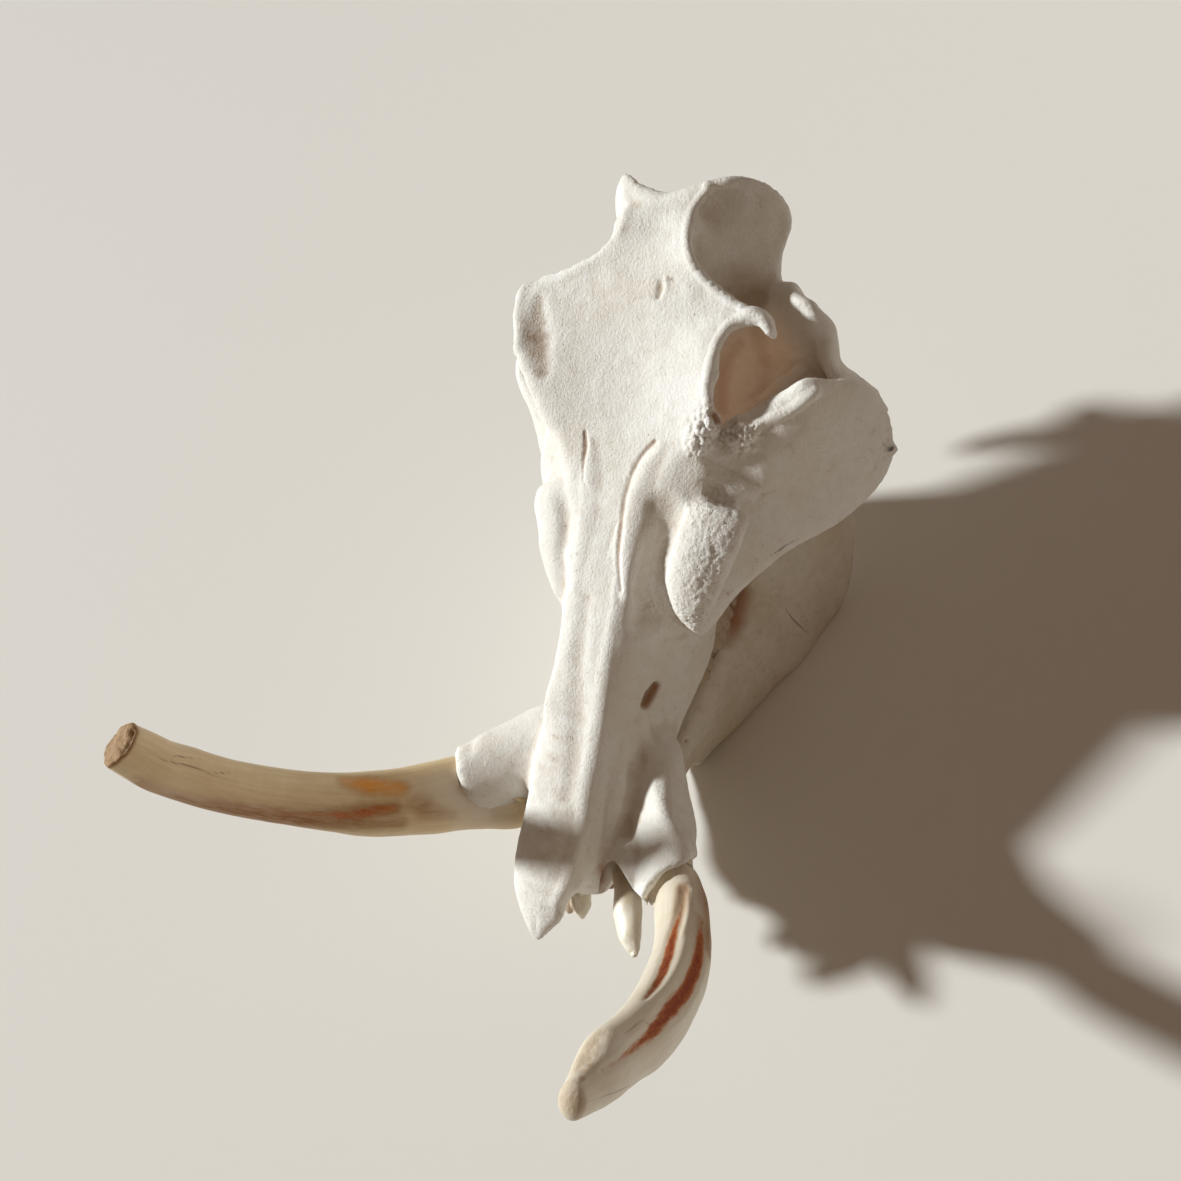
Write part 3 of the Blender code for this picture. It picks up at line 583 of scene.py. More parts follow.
class Bone:
    """A fused bone whose vertices are pushed with brushes and painted with masks."""

    def __init__(self, target):
        self.target = target
        self.straight = None
        self.reread()

    def start_paint(self):
        """Clean masks, once no more faces are split."""
        self.paint = {mask: np.zeros(len(self.places)) for mask in MASKS}

    def reread(self):
        mesh = self.target.data
        flat = np.empty(len(mesh.vertices) * 3)
        mesh.vertices.foreach_get("co", flat)
        self.places = flat.reshape(-1, 3)
        self.refresh()

    def refresh(self):
        """Write the moved vertices back, and read their normals again."""
        mesh = self.target.data
        mesh.vertices.foreach_set("co", self.places.ravel())
        mesh.update()
        flat = np.empty(len(mesh.vertices) * 3, np.float32)
        mesh.vertex_normals.foreach_get("vector", flat)
        self.normals = flat.reshape(-1, 3).astype(float)
        builder = bmesh.new()
        builder.from_mesh(mesh)
        self.tree = BVHTree.FromBMesh(builder)
        builder.free()

    def under(self, pixel):
        """Place and normal of the bone that the camera sees at a pixel, or of the rim beside the pixel."""
        line = sight_line(pixel)
        place, normal, _, _ = self.tree.ray_cast(EYE, line)
        if place is None:
            passing = [self.tree.find_nearest(EYE + line * reach) for reach in PASSING_REACHES]
            place, normal, _, _ = min(passing, key=lambda found: found[3])
        return np.array(place), np.array(normal)

    def trace(self, marks):
        """Curve on the bone through pixels of the picture, and its normals."""
        places, normals = (np.array(found) for found in zip(*map(self.under, marks)))
        if len(marks) > 1:
            places = flow(places)
            normals = flow(normals)
        return places, normals / np.linalg.norm(normals, axis=1, keepdims=True)

    def near(self, marks, width, facing=FACED, taper=EVEN, slit=False):
        """Weight of each vertex near a curve, 1 on it and 0 at its width; a slit falls off from a sharp middle.

        Skin counts that faces as the curve does, and more of it the lower facing is. The taper lists shares of
        the width and of the weight from the first mark to the last.
        """
        places, normals = self.trace(marks)
        chosen = np.flatnonzero(np.all(
            (self.places > places.min(0) - width) & (self.places < places.max(0) + width), axis=1))
        spots = self.places[chosen]
        if len(places) == 1:
            offset = np.linalg.norm(spots - places[0], axis=1)
            share = np.zeros(len(chosen))
            nearest = np.zeros(len(chosen), int)
        else:
            starts = places[:-1]
            steps = places[1:] - starts
            lengths = np.maximum((steps ** 2).sum(1), 1e-9)
            along = (((spots[:, None] - starts[None]) * steps[None]).sum(2) / lengths).clip(0, 1)
            feet = starts[None] + along[..., None] * steps[None]
            gaps = np.linalg.norm(spots[:, None] - feet, axis=2)
            nearest = gaps.argmin(1)
            rows = np.arange(len(chosen))
            offset = gaps[rows, nearest]
            share = (nearest + along[rows, nearest]) / len(steps)
        local = np.interp(share, np.linspace(0, 1, len(taper)), taper)
        ratio = np.clip(1 - offset / np.maximum(width * local, 1e-6), 0, 1)
        fade = (ratio if slit else (1 - (1 - ratio) ** 2) ** 2) * np.minimum(local, 1)
        turned = (self.normals[chosen] * normals[nearest]).sum(1)
        weight = np.zeros(len(self.places))
        weight[chosen] = fade * np.clip((turned - facing) / FACING_BLEND, 0, 1)
        return weight

    def stroke(self, *strokes, slit=False):
        """Raise the bone along curves, or sink it where a depth is negative.

        A stroke has its marks, width and depth, and then facing and taper.
        """
        for marks, width, depth, *spread in strokes:
            weight = self.near(marks, width, *spread, slit=slit)
            self.places += self.normals * (weight * depth)[:, None]

    def tint(self, *tints):
        """Paint masks along curves. A tint has its mask, marks, width and strength, and then facing and taper."""
        for mask, marks, width, strength, *spread in tints:
            weight = self.near(marks, width, *(spread or (PAINT_FACED,)))
            self.paint[mask] = np.maximum(self.paint[mask], weight * strength)

    def pull(self, centre, radius, move):
        """Drag the bone round a place by a vector."""
        fade = soft_edge(self.places - np.array(centre, float), radius)
        self.places += fade[:, None] * np.array(move, float)

    def nudge(self, pixel, radius, across, up):
        """Drag what shows at a pixel, or the rim beside it, by millimetres across and up in the picture."""
        offset = self.places - self.under(pixel)[0]
        offset = offset - np.outer(offset @ np.array(BACK), np.array(BACK)) * 0.5
        fade = soft_edge(offset, radius)
        self.places += fade[:, None] * (np.array(RIGHT) * across + np.array(UP) * up)
        self.refresh()

    def displace(self, weight, size, height, seed, pattern):
        """Push the bone in and out by a pattern whose detail has a size in millimetres."""
        weight = np.broadcast_to(weight, len(self.places))
        chosen = np.flatnonzero(weight > FAINT)
        shift = Vector((seed, seed * 0.7, -seed))
        bumps = np.array([pattern(Vector(self.places[index]) / size + shift) for index in chosen])
        self.places[chosen] += self.normals[chosen] * (bumps * height * weight[chosen])[:, None]

    def roughen(self, weight, size, height, octaves=3, seed=0.0):
        """Smooth unevenness."""
        self.displace(weight, size, height, seed, lambda place: noise.fractal(place, 0.9, 2.1, octaves))

    def lump(self, weight, size, height, seed=0.0):
        """Round crumbs."""
        self.displace(
            weight, size, height, seed, lambda place: np.clip(1 - 1.4 * noise.voronoi(place)[0][0], -0.3, 1))
        self.refresh()

    def refine(self, marks, width):
        """Split the faces near a curve, so that a fine stroke has vertices to move."""
        chosen = set(np.flatnonzero(self.near(marks, width, -0.5) > FAINT).tolist())
        builder = bmesh.new()
        builder.from_mesh(self.target.data)
        edges = [edge for edge in builder.edges if all(vertex.index in chosen for vertex in edge.verts)]
        bmesh.ops.subdivide_edges(builder, edges=edges, cuts=1, use_grid_fill=True)
        builder.to_mesh(self.target.data)
        builder.free()
        self.reread()

    def find_hollows(self, reach):
        """Paint a mask where the skin is hollow, as dust and shade gather there."""
        mesh = self.target.data
        ends = np.empty(len(mesh.edges) * 2, int)
        mesh.edges.foreach_get("vertices", ends)
        first, second = ends.reshape(-1, 2).T
        count = np.bincount(ends, minlength=len(self.places))[:, None]
        mean = self.places
        for _ in range(reach):
            total = np.zeros_like(mean)
            np.add.at(total, first, mean[second])
            np.add.at(total, second, mean[first])
            mean = 0.5 * mean + 0.5 * total / count
        depth = ((mean - self.places) * self.normals).sum(1)
        self.paint["hollow"] = np.clip(depth / FULL_HOLLOW, -1, 1) * 0.5 + 0.5

    def finish(self, name, material, node, slot_name, hollow_reach):
        """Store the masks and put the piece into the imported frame, in metres, in place of its plain solid."""
        self.refresh()
        self.find_hollows(hollow_reach)
        piece = self.target
        mesh = piece.data
        for mask, values in self.paint.items():
            attribute = mesh.attributes.new(mask, "FLOAT", "POINT")
            attribute.data.foreach_set("value", values.astype(np.float32))
        if self.straight is not None:
            attribute = mesh.attributes.new("straight", "FLOAT_VECTOR", "POINT")
            attribute.data.foreach_set("vector", (self.straight * MM).astype(np.float32).ravel())
        mesh.transform(Matrix.Scale(MM, 4) @ Matrix.Translation(MIDLINE_TO_FRAME))
        piece.name = name
        mesh.name = name
        mesh.materials.clear()
        mesh.materials.append(material)
        mesh.shade_smooth()
        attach(piece, "root")
        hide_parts(node)


# Sculpting, after the picture
# Places that are pulled in before the rest, in millimetres on the skull: the flank rises with the snout
MUZZLE_FLANK = tuple((-26, y, 150 + 0.33 * (y + 40)) for y in (-92, -70, -48, -28))
RIGHT_CHEEK = (-44, 22, 178)
# Pixel, radius, and how far it is dragged across and up in the picture, in millimetres
CRANIUM_NUDGES = (
    ((622, 180), 14, 1.5, 3.0), ((783, 250), 20, -0.5, 0.0), ((797, 288), 12, -1.5, -3.0),
    ((845, 352), 16, -3.5, -2.5), ((850, 362), 12, -2.5, -1.5), ((868, 385), 16, 1.5, 1.5),
    ((893, 425), 14, -1.0, 0.0), ((833, 330), 14, 1.5, 0.5), ((690, 792), 26, -8.5, 0.0),
    ((570, 908), 10, -1.5, 2.5), ((587, 902), 11, 0.0, 3.0), ((578, 898), 13, 0.0, 3.0),
    ((764, 414), 22, -2.0, 4.2), ((720, 372), 14, -3.5, 0.0), ((716, 396), 12, -3.0, 0.0),
    ((729, 348), 12, -2.0, 1.0), ((740, 514), 15, 4.0, 3.5), ((537, 530), 26, 5.0, 0.0),
    ((542, 578), 20, 4.0, 0.0), ((462, 745), 12, 1.0, -2.0),
    ((744, 431), 14, -1.5, 4.0), ((515, 375), 18, -2.0, 0.0), ((532, 420), 18, 2.5, 0.0),
    ((538, 450), 20, 4.5, 0.0), ((603, 243), 16, 1.2, -1.2), ((545, 700), 20, -1.5, 0.0),
)
TEMPORAL_LINE = (
    (708, 189), (694, 208), (687, 233), (690, 256), (698, 272), (709, 284), (724, 296), (742, 307),
)
TEMPORAL_SCOOP = ((722, 200), (708, 222), (703, 246), (712, 268), (730, 284), (752, 298))
CREST_RIM = ((708, 187), (728, 181), (752, 182), (773, 195), (788, 215), (787, 232), (781, 248))
RIGHT_CREST_LIP = ((622, 184), (625, 196), (627, 210), (624, 222), (619, 234))
ORBIT_RIM = ((768, 330), (762, 318), (748, 313), (733, 322), (722, 335), (712, 358), (706, 384), (709, 402))
ORBIT_LOWER_RIM = ((741, 434), (752, 428), (770, 419), (787, 413), (803, 402), (816, 392))
ORBIT_FAR_EDGE = ((740, 412), (762, 398), (782, 383), (801, 368))
LEFT_BROW_GROOVE = ((655, 441), (645, 452), (636, 466), (628, 486), (623, 508), (620, 535), (618, 562), (621, 590))
LEFT_BROW_LIP = ((661, 448), (648, 468), (639, 490), (632, 516), (628, 545), (627, 572), (628, 594))
RIGHT_BROW_GROOVE = ((585, 432), (586, 446), (584, 460), (583, 478))
BROW_BRANCHES = (((583, 478), (587, 492), (586, 512), (580, 545), (574, 578)), ((621, 512), (614, 530), (605, 558)))
RIGHT_BROW_LIP = ((590, 440), (590, 470), (586, 512), (580, 548), (574, 590))
RIGHT_BROW_HOLLOW = ((538, 300), (537, 325), (538, 350), (542, 370))
RIGHT_BROW_EDGE = ((524, 284), (518, 310), (518, 345), (521, 372), (529, 396), (536, 412))
RIGHT_TEMPORAL_EDGE = ((545, 277), (566, 273), (586, 262), (600, 246), (613, 226), (619, 205))
CHEEK_VALLEY = ((665, 512), (663, 532), (655, 560), (648, 590), (645, 618))
# Marks of painted shade in the orbit and the notch; the orbit wall also carries a painted glow
ORBIT_RIM_SHADE = ((722, 408), (722, 390), (724, 375), (730, 358), (742, 344))
ORBIT_WALL_SHADE_AND_GLOW = ((731, 404), (735, 382), (748, 362), (772, 350))
NOTCH_SHADE = ((601, 888), (601, 876), (604, 868))
LOBE = ((714, 502), (707, 535), (700, 570), (696, 600), (702, 620))
LOBE_LEFT_EDGE = ((688, 512), (680, 528), (670, 548), (667, 562), (665, 585), (669, 603), (682, 614), (704, 631))
LOBE_TRENCH = ((738, 458), (731, 472), (722, 485))
LOBE_HOLLOW = ((716, 560), (708, 577), (704, 592))
LOBE_PITS = ((686, 560), (693, 590), (713, 548), (722, 530), (700, 610), (682, 598), (729, 512), (711, 600))
LACRIMAL_HOLE = ((714, 416), (719, 421))
LACRIMAL_PATCH = ((699, 440), (708, 428), (720, 424), (732, 432), (742, 438))
INFRAORBITAL = ((655, 686), (650, 695), (645, 704))
SNOUT_FURROW = ((586, 600), (580, 650), (578, 700), (574, 750), (566, 800))
NASAL_EDGE = (
    (615, 580), (614, 610), (609, 640), (600, 700), (592, 750), (585, 795), (580, 840), (566, 880), (555, 902),
)
NASAL_TIP_SUTURE = ((534, 916), (535, 927), (536, 937))
MUZZLE_RIDGES = (
    ((606, 700), (600, 760), (596, 820), (592, 870)), ((628, 740), (618, 790), (608, 845)),
    ((640, 700), (652, 750), (655, 790)),
)
LEFT_SOCKET_RIM = ((694, 858), (680, 868), (665, 876), (657, 886), (650, 898))
RIGHT_SOCKET_RIM = ((462, 752), (459, 765), (461, 782), (470, 799), (486, 806), (504, 808))
MUZZLE_NOTCH = (607, 866)
NOTCH_CUT = (
    (600, 930), (600, 880), (604, 868), (609, 862), (614, 861), (620, 867), (633, 889), (647, 905), (647, 930),
)
NOTCH_REACHES = (-18, 8, 34, 60)
FORAMEN_PIT = ((660, 282), (660, 289), (658, 297))
FORAMEN_LIP = ((666, 278), (667, 285), (665, 293))
FOREHEAD_PITS = (
    ((604, 406), 1.2), ((600, 411), 1.0), ((671, 279), 1.2), ((729, 288), 1.2),
    ((583, 264), 1.6), ((593, 864), 1.1), ((623, 845), 1.1), ((562, 837), 1.1), ((541, 831), 1.0), ((612, 443), 0.9),
)
NOSE_FACE = ((572, 620), (562, 690), (555, 760), (548, 830), (540, 900))
CHEEK_SUTURE = ((765, 558), (778, 551), (790, 543), (801, 538))
JUGAL_BORDER = ((882, 388), (889, 405), (890, 425), (886, 448), (878, 476))
JUGAL_CRUMB = (891, 449)


def sculpt_cranium(bone):
    # Large forms
    for place in MUZZLE_FLANK:
        bone.pull(place, 22, (2.6, 0, -0.6))
    bone.pull(RIGHT_CHEEK, 24, (3.2, 0, -1.0))
    bone.refresh()
    for nudge in CRANIUM_NUDGES:
        bone.nudge(*nudge)
    carve(bone.target, drawn_through(NOTCH_CUT, bone.under(MUZZLE_NOTCH)[0], NOTCH_REACHES))
    bone.reread()
    # Finer faces where fine strokes follow
    for marks, width in (
        (LEFT_BROW_GROOVE, 8), (RIGHT_BROW_GROOVE, 7), (INFRAORBITAL, 8), (LOBE_LEFT_EDGE, 7), (LOBE, 14),
        (LACRIMAL_PATCH, 13), (TEMPORAL_LINE, 6), (ORBIT_RIM, 6), (ORBIT_LOWER_RIM, 6), (FORAMEN_PIT, 7),
        (CHEEK_SUTURE, 3), (LEFT_BROW_GROOVE, 4), (RIGHT_BROW_GROOVE, 3.5), (INFRAORBITAL, 5), (LACRIMAL_PATCH, 10),
    ):
        bone.refine(marks, width)
    bone.start_paint()
    # Crisp edges of the brow, the scoop behind it, the crest and the orbit
    bone.stroke((TEMPORAL_SCOOP, 13, -3.0, -0.3))
    bone.refresh()
    bone.stroke(
        (TEMPORAL_LINE, 3.6, 1.5, -0.6), (CREST_RIM, 4.0, 1.0, -0.6), (RIGHT_CREST_LIP, 4.0, 1.2, -0.6, (1, 0.7)),
        (ORBIT_RIM, 3.8, 1.5, -0.6), (ORBIT_LOWER_RIM, 4.0, 1.8, -0.6), (ORBIT_FAR_EDGE, 4.0, 1.2, -0.6),
        (RIGHT_TEMPORAL_EDGE, 4.0, 1.0, -0.6),
    )
    bone.refresh()
    # Grooves above the orbits, each beside a swollen lip
    bone.stroke(
        (LEFT_BROW_LIP, 10, 2.6, FACED, (0.4, 0.9, 1.0, 0.6)), (RIGHT_BROW_LIP, 7, 1.2, FACED, (0.5, 1.0, 0.8, 0.5)),
    )
    bone.refresh()
    bone.stroke(
        (LEFT_BROW_GROOVE, 3.2, -1.1, -0.5, (0.5, 0.8, 1.0, 1.0, 0.6)),
        (RIGHT_BROW_GROOVE, 2.8, -0.9, -0.5, (0.6, 1.0, 0.7, 0.3)),
        *((branch, 2.4, -0.5, -0.5, (0.7, 1.0, 0.4)) for branch in BROW_BRANCHES),
    )
    bone.refresh()
    bone.stroke(
        (LEFT_BROW_GROOVE, 1.8, -0.3, -0.8, (0.8, 0.6, 0.8, 1.0, 0.5)),
        (RIGHT_BROW_GROOVE, 1.8, -0.3, -0.8, (0.8, 1.0, 0.7, 0.3)),
        (CHEEK_SUTURE, 0.9, -0.5, -0.8, (0.4, 1.0, 0.5)), slit=True,
    )
    bone.refresh()
    # Right brow: a rough hollow inside a pale lip
    bone.stroke((RIGHT_BROW_HOLLOW, 12, -2.8, FACED, (0.5, 1.0, 0.6)), (RIGHT_BROW_EDGE, 5, 1.5))
    bone.refresh()
    # Cheek: the valley beside the muzzle, its spur and the rough lobe
    bone.stroke((CHEEK_VALLEY, 12, -3.4))
    bone.refresh()
    bone.stroke((LOBE_TRENCH, 21, -4.0, FACED, (0.7, 1.0, 0.6)))
    bone.refresh()
    bone.stroke(
        (LOBE_LEFT_EDGE, 4.5, 0.4, -0.4), (LOBE_HOLLOW, 7, -0.5, FACED, (0.6, 1.0, 0.6)),
        (LACRIMAL_PATCH, 10, 2.4, -0.8),
    )
    bone.refresh()
    bone.stroke(*(((pit,), 3.4, -0.2) for pit in LOBE_PITS))
    bone.refresh()
    # Muzzle
    bone.stroke(
        (SNOUT_FURROW, 8, -1.2, FACED, (0.7, 1.0, 0.5)), (NASAL_EDGE, 6, 1.4, FACED, (0.4, 1.0, 1.0, 0.8)),
        *((ridge, 6, 0.9, FACED, (0.4, 1.0, 0.4)) for ridge in MUZZLE_RIDGES),
    )
    bone.refresh()
    # Small pits and holes
    bone.stroke(
        (NASAL_TIP_SUTURE, 1.8, -0.7, -0.6), (INFRAORBITAL, 4.6, -6.0, -0.7, (0.7, 1.0, 0.8)),
        *(((mark,), radius, -0.8 * radius, -0.6) for mark, radius in FOREHEAD_PITS),
        (FORAMEN_PIT, 3.0, -1.3, -0.6, (0.5, 1.0, 0.7)), (FORAMEN_LIP, 1.5, 0.7, -0.6, (1.0, 0.6)),
    )
    bone.refresh()
    # Rough places
    bone.roughen(bone.near(LOBE, 24), 1.9, 0.5, seed=3.0)
    bone.roughen(bone.near(LOBE, 20), 4.5, 0.12, seed=13.0)
    bone.roughen(bone.near(RIGHT_BROW_HOLLOW, 16), 2.2, 0.35, seed=5.0)
    bone.roughen(bone.near(JUGAL_BORDER, 7, -0.6), 3.4, 0.9, seed=21.0)
    bone.refresh()
    bone.nudge(JUGAL_CRUMB, 4.5, 3.0, -0.5)
    bone.lump(bone.near(LACRIMAL_PATCH, 13, -0.8), 3.4, 2.6, seed=7.0)
    bone.lump(bone.near(LACRIMAL_PATCH, 15, -0.8), 1.8, 0.8, seed=17.0)
    bone.roughen(bone.near(RIGHT_SOCKET_RIM, 9, -0.5), 3.0, 0.7, seed=11.0)
    bone.stroke((LEFT_SOCKET_RIM, 9, -1.5, 0.1))
    bone.refresh()
    bone.roughen(bone.near(LEFT_SOCKET_RIM, 7, -0.5), 3.0, 0.4, seed=12.0)
    bone.roughen(EVERYWHERE, *BONE_SWELLS, seed=1.0)
    bone.refresh()
    bone.roughen(EVERYWHERE, *BONE_RIPPLES, seed=2.0)
    bone.refresh()
    bone.tint(
        ("rough", LOBE, 24, 1.0),
        ("rough", RIGHT_BROW_HOLLOW, 16, 1.0),
        ("rough", LACRIMAL_PATCH, 15, 1.0, -0.8),
        ("rough", RIGHT_SOCKET_RIM, 12, 0.6),
        # Painted shade in the brow's hollow, the lobe's hollow and the small holes and pits
        ("grime", RIGHT_BROW_HOLLOW, 12, 0.95, PAINT_FACED, (0.3, 1.0, 0.7)),
        ("grime", LOBE_HOLLOW, 8, 0.25),
        ("warm", INFRAORBITAL, 4.6, 0.9, -0.9),
        ("warm", LACRIMAL_HOLE, 3.6, 0.9, -0.9),
        ("grime", FORAMEN_PIT, 3.6, 0.4, -0.9),
        ("warm", LEFT_SOCKET_RIM, 2.2, 0.75, -0.9),
        # Painted shade along the brow grooves
        ("grime", LEFT_BROW_GROOVE, 2.6, 0.8, -0.9, (0.8, 0.6, 1.0, 0.6)),
        ("warm", LEFT_BROW_GROOVE, 1.7, 0.3, -0.9, (1.0, 0.6, 1.0, 0.6)),
        ("grime", RIGHT_BROW_GROOVE, 2.6, 0.8, -0.9, (0.8, 1.0, 0.5)),
        ("warm", RIGHT_BROW_GROOVE, 1.7, 0.3, -0.9, (0.8, 1.0, 0.5)),
        ("crack", CHEEK_SUTURE, 0.9, 0.6, -0.9, (0.4, 1.0, 0.4)),
        ("crack", (JUGAL_CRUMB,), 2.6, 0.9, -0.9),
        # Painted shade: the orbit under its rim and the notch by the socket are painted orange brown
        ("warm", ORBIT_RIM_SHADE, 10, 0.8, -0.3, (1.0, 1.0, 0.6)),
        ("warm", ORBIT_WALL_SHADE_AND_GLOW, 30, 0.4, -0.9, (1.0, 0.8, 0.6)),
        ("warm", NOTCH_SHADE, 6, 0.8, -1.2),
        # Painted glow: the thin bone of the orbit is made to give off a little warm light
        ("amber", ORBIT_WALL_SHADE_AND_GLOW, 34, 1.0, -0.9, (1.0, 1.0, 0.8)),
        # Painted shade: the nose bone is painted a little darker and browner than the forehead
        ("grime", NOSE_FACE, 34, 0.3, PAINT_FACED, (0.6, 1.0, 1.0)),
    )


MANDIBLE_NUDGES = (
    ((853, 520), 22, 2.0, 0.0), ((825, 620), 18, -2.0, 0.0), ((795, 660), 22, 1.5, -1.5), ((715, 750), 20, -1.0, 1.0),
)
JAW_STAIN = ((742, 596), (736, 612), (733, 630), (728, 642))
JAW_SPOT = ((731, 596), (733, 601))
JAW_CRACKS = (
    ((727, 622), (724, 636), (718, 650), (710, 662), (700, 675)), ((785, 608), (792, 618), (801, 627), (811, 636)),
)
JAW_FORAMEN = (687, 741)


def sculpt_mandible(bone):
    for nudge in MANDIBLE_NUDGES:
        bone.nudge(*nudge)
    for crack in JAW_CRACKS:
        bone.refine(crack, 3)
        bone.refine(crack, 2.2)
    bone.refine((JAW_FORAMEN,), 5)
    bone.start_paint()
    bone.stroke(*((crack, 1.0, -0.6, FACED, CRACK_TAPER) for crack in JAW_CRACKS), slit=True)
    bone.stroke(((JAW_FORAMEN,), 2.2, -2.0))
    bone.roughen(EVERYWHERE, *BONE_SWELLS, seed=4.0)
    bone.refresh()
    bone.roughen(EVERYWHERE, *BONE_RIPPLES, seed=6.0)
    bone.tint(
        ("warm", JAW_STAIN, 12, 0.9, PAINT_FACED, (0.8, 1.0, 0.5)), ("crack", JAW_SPOT, 2.4, 1.0),
        *(("crack", crack, 1.0, 0.5, PAINT_FACED, CRACK_TAPER) for crack in JAW_CRACKS),
    )
    # The jaw rests on its lower border
    bone.places[:, 2] = np.maximum(bone.places[:, 2], 0)


# Tusks and teeth
def on_picture(points):
    """Pixels and depths of points in the picture."""
    offset = np.asarray(points, float) - np.array(EYE)
    depth = -(offset @ np.array(BACK))
    across = PICTURE / 2 + FOCAL_PIXELS * (offset @ np.array(RIGHT)) / depth
    down = PICTURE / 2 - FOCAL_PIXELS * (offset @ np.array(UP)) / depth
    return np.stack([across, down], axis=-1), depth


def outlined_rings(points, hidden, base_halves, edges, flatness, long_hint, steps, sides):
    """Rings of a tusk or tooth whose visible part keeps to two edges in the picture.

    The points give its course and so its depth; the first of them are hidden in the bone. Each pair of
    edges is two pixels, one on either side. Flatness is the short half axis over the long one.
    """
    points = np.asarray(points, float)
    course = flow(np.concatenate([points, points[-1:] + (points[-1] - points[-2])]), COURSE_STEPS)
    pixels, depths = on_picture(course)
    centres = list(points[:hidden])
    wanted = []
    for near_edge, far_edge in edges:
        middle = (np.array(near_edge, float) + far_edge) / 2
        depth = depths[np.linalg.norm(pixels - middle, axis=1).argmin()]
        line = np.array(sight_line(middle))
        centres.append(np.array(EYE) + line * (depth / -(line @ np.array(BACK))))
        wanted.append(math.dist(near_edge, far_edge) / 2 * depth / FOCAL_PIXELS)
    centres = np.array(centres)
    halves = [base_halves] * hidden
    for centre, forward, breadth in zip(centres[hidden:], tangents(centres)[hidden:], wanted):
        long_axis, short_axis = axes_across(forward, long_hint)
        sideways = np.cross(forward, np.array(EYE) - centre)
        sideways /= np.linalg.norm(sideways)
        seen = math.hypot(long_axis @ sideways, flatness * (short_axis @ sideways))
        halves.append((breadth / seen, breadth / seen * flatness))
    long_halves, short_halves = flow(np.array(halves), steps).T
    return tube_rings(flow(centres, steps), long_halves, short_halves, long_hint, sides)


def tooth_from_rings(name, rings, cap_reach):
    """Sculptable tusk or tooth with a round end, and the straightened place of each of its vertices."""
    end = rings[-1].mean(0)
    direction = end - rings[-2].mean(0)
    direction /= np.linalg.norm(direction)
    caps = []
    for angle in np.arange(1, CAP_STEPS) / CAP_STEPS * math.pi / 2:
        caps.append(end + (rings[-1] - end) * math.cos(angle) + direction * cap_reach * math.sin(angle))
    rings = np.concatenate([rings, np.array(caps)])
    builder = bmesh.new()
    loops, _ = skin_rings(builder, rings)
    builder.faces.new(loops[0][::-1])
    builder.faces.new(loops[-1])
    bmesh.ops.recalc_face_normals(builder, faces=builder.faces)
    tooth = Bone(object_from_builder(name, builder))
    tooth.start_paint()
    middles = rings.mean(1)
    along = np.concatenate([[0], np.cumsum(np.linalg.norm(np.diff(middles, axis=0), axis=1))])
    sides = rings.shape[1]
    turn = np.linspace(0, 2 * np.pi, sides, endpoint=False)
    ring_radius = np.linalg.norm(rings - middles[:, None], axis=2)
    tooth.straight = np.stack([
        ring_radius * np.cos(turn), ring_radius * np.sin(turn), np.repeat(along[:, None], sides, axis=1),
    ], axis=2).reshape(-1, 3)
    tooth.end = end
    tooth.direction = direction
    return tooth


LEFT_TUSK_COURSE = (
    (36.5, -104.7, 95), (47.6, -117.3, 97.6), (57.6, -129, 102.4), (67.3, -140.5, 110.8), (79.4, -153.1, 121.6),
    (94.5, -164, 141), (107.5, -175, 167), (117, -186, 195), (123, -197, 226), (126, -210, 259),
)
RIGHT_TUSK_COURSE = (
    (-34.6, -110, 85.5), (-44.5, -122, 85), (-56, -128.5, 89.5), (-66, -136, 96.5), (-82, -152, 119), (-96, -165, 142),
    (-108, -173, 167), (-117, -179, 195), (-125, -180, 227), (-131, -180, 262),
)
# Pairs of pixels on the two edges of each tusk, from the socket to the tip
LEFT_TUSK_EDGES = (
    ((653, 897), (703, 888)), ((654, 908), (708, 910)), ((655, 926), (710, 931)), ((654, 944), (710, 956)),
    ((648, 964), (704, 991)), ((638, 985), (692, 1020)), ((624, 1007), (671, 1052)), ((607, 1024), (646, 1072)),
    ((595, 1033), (634, 1082)), ((585, 1042), (622, 1092)), ((578, 1057), (608, 1101)), ((570, 1074), (594, 1108)),
    ((563, 1086), (584, 1113)),
)
RIGHT_TUSK_EDGES = (
    ((512, 766), (519, 827)), ((485, 760), (494, 828)), ((458, 756), (468, 829)), ((430, 762), (438, 833)),
    ((400, 768), (403, 835)), ((370, 771), (368, 836)), ((340, 773), (333, 831)), ((310, 772), (300, 826)),
    ((280, 769), (267, 821)), ((250, 764), (234, 815)), ((220, 757), (200, 807)), ((195, 749), (172, 798)),
    ((172, 742), (150, 790)), ((156, 735), (131, 780)), ((131, 724), (110, 767)),
)
# Course, how many points of it are hidden, half axes there, edges, flatness, long axis, steps and sides
LEFT_TUSK = (LEFT_TUSK_COURSE, 4, (13.4, 10.7), LEFT_TUSK_EDGES, 0.8, ALONG_SKULL, 16, 96)
RIGHT_TUSK = (RIGHT_TUSK_COURSE, 2, (15.5, 12.4), RIGHT_TUSK_EDGES, 0.8, ALONG_SKULL, 16, 96)
# How far the round ends reach past the last edges
LEFT_TIP_REACH = 3.6
RIGHT_TIP_REACH = 3.0
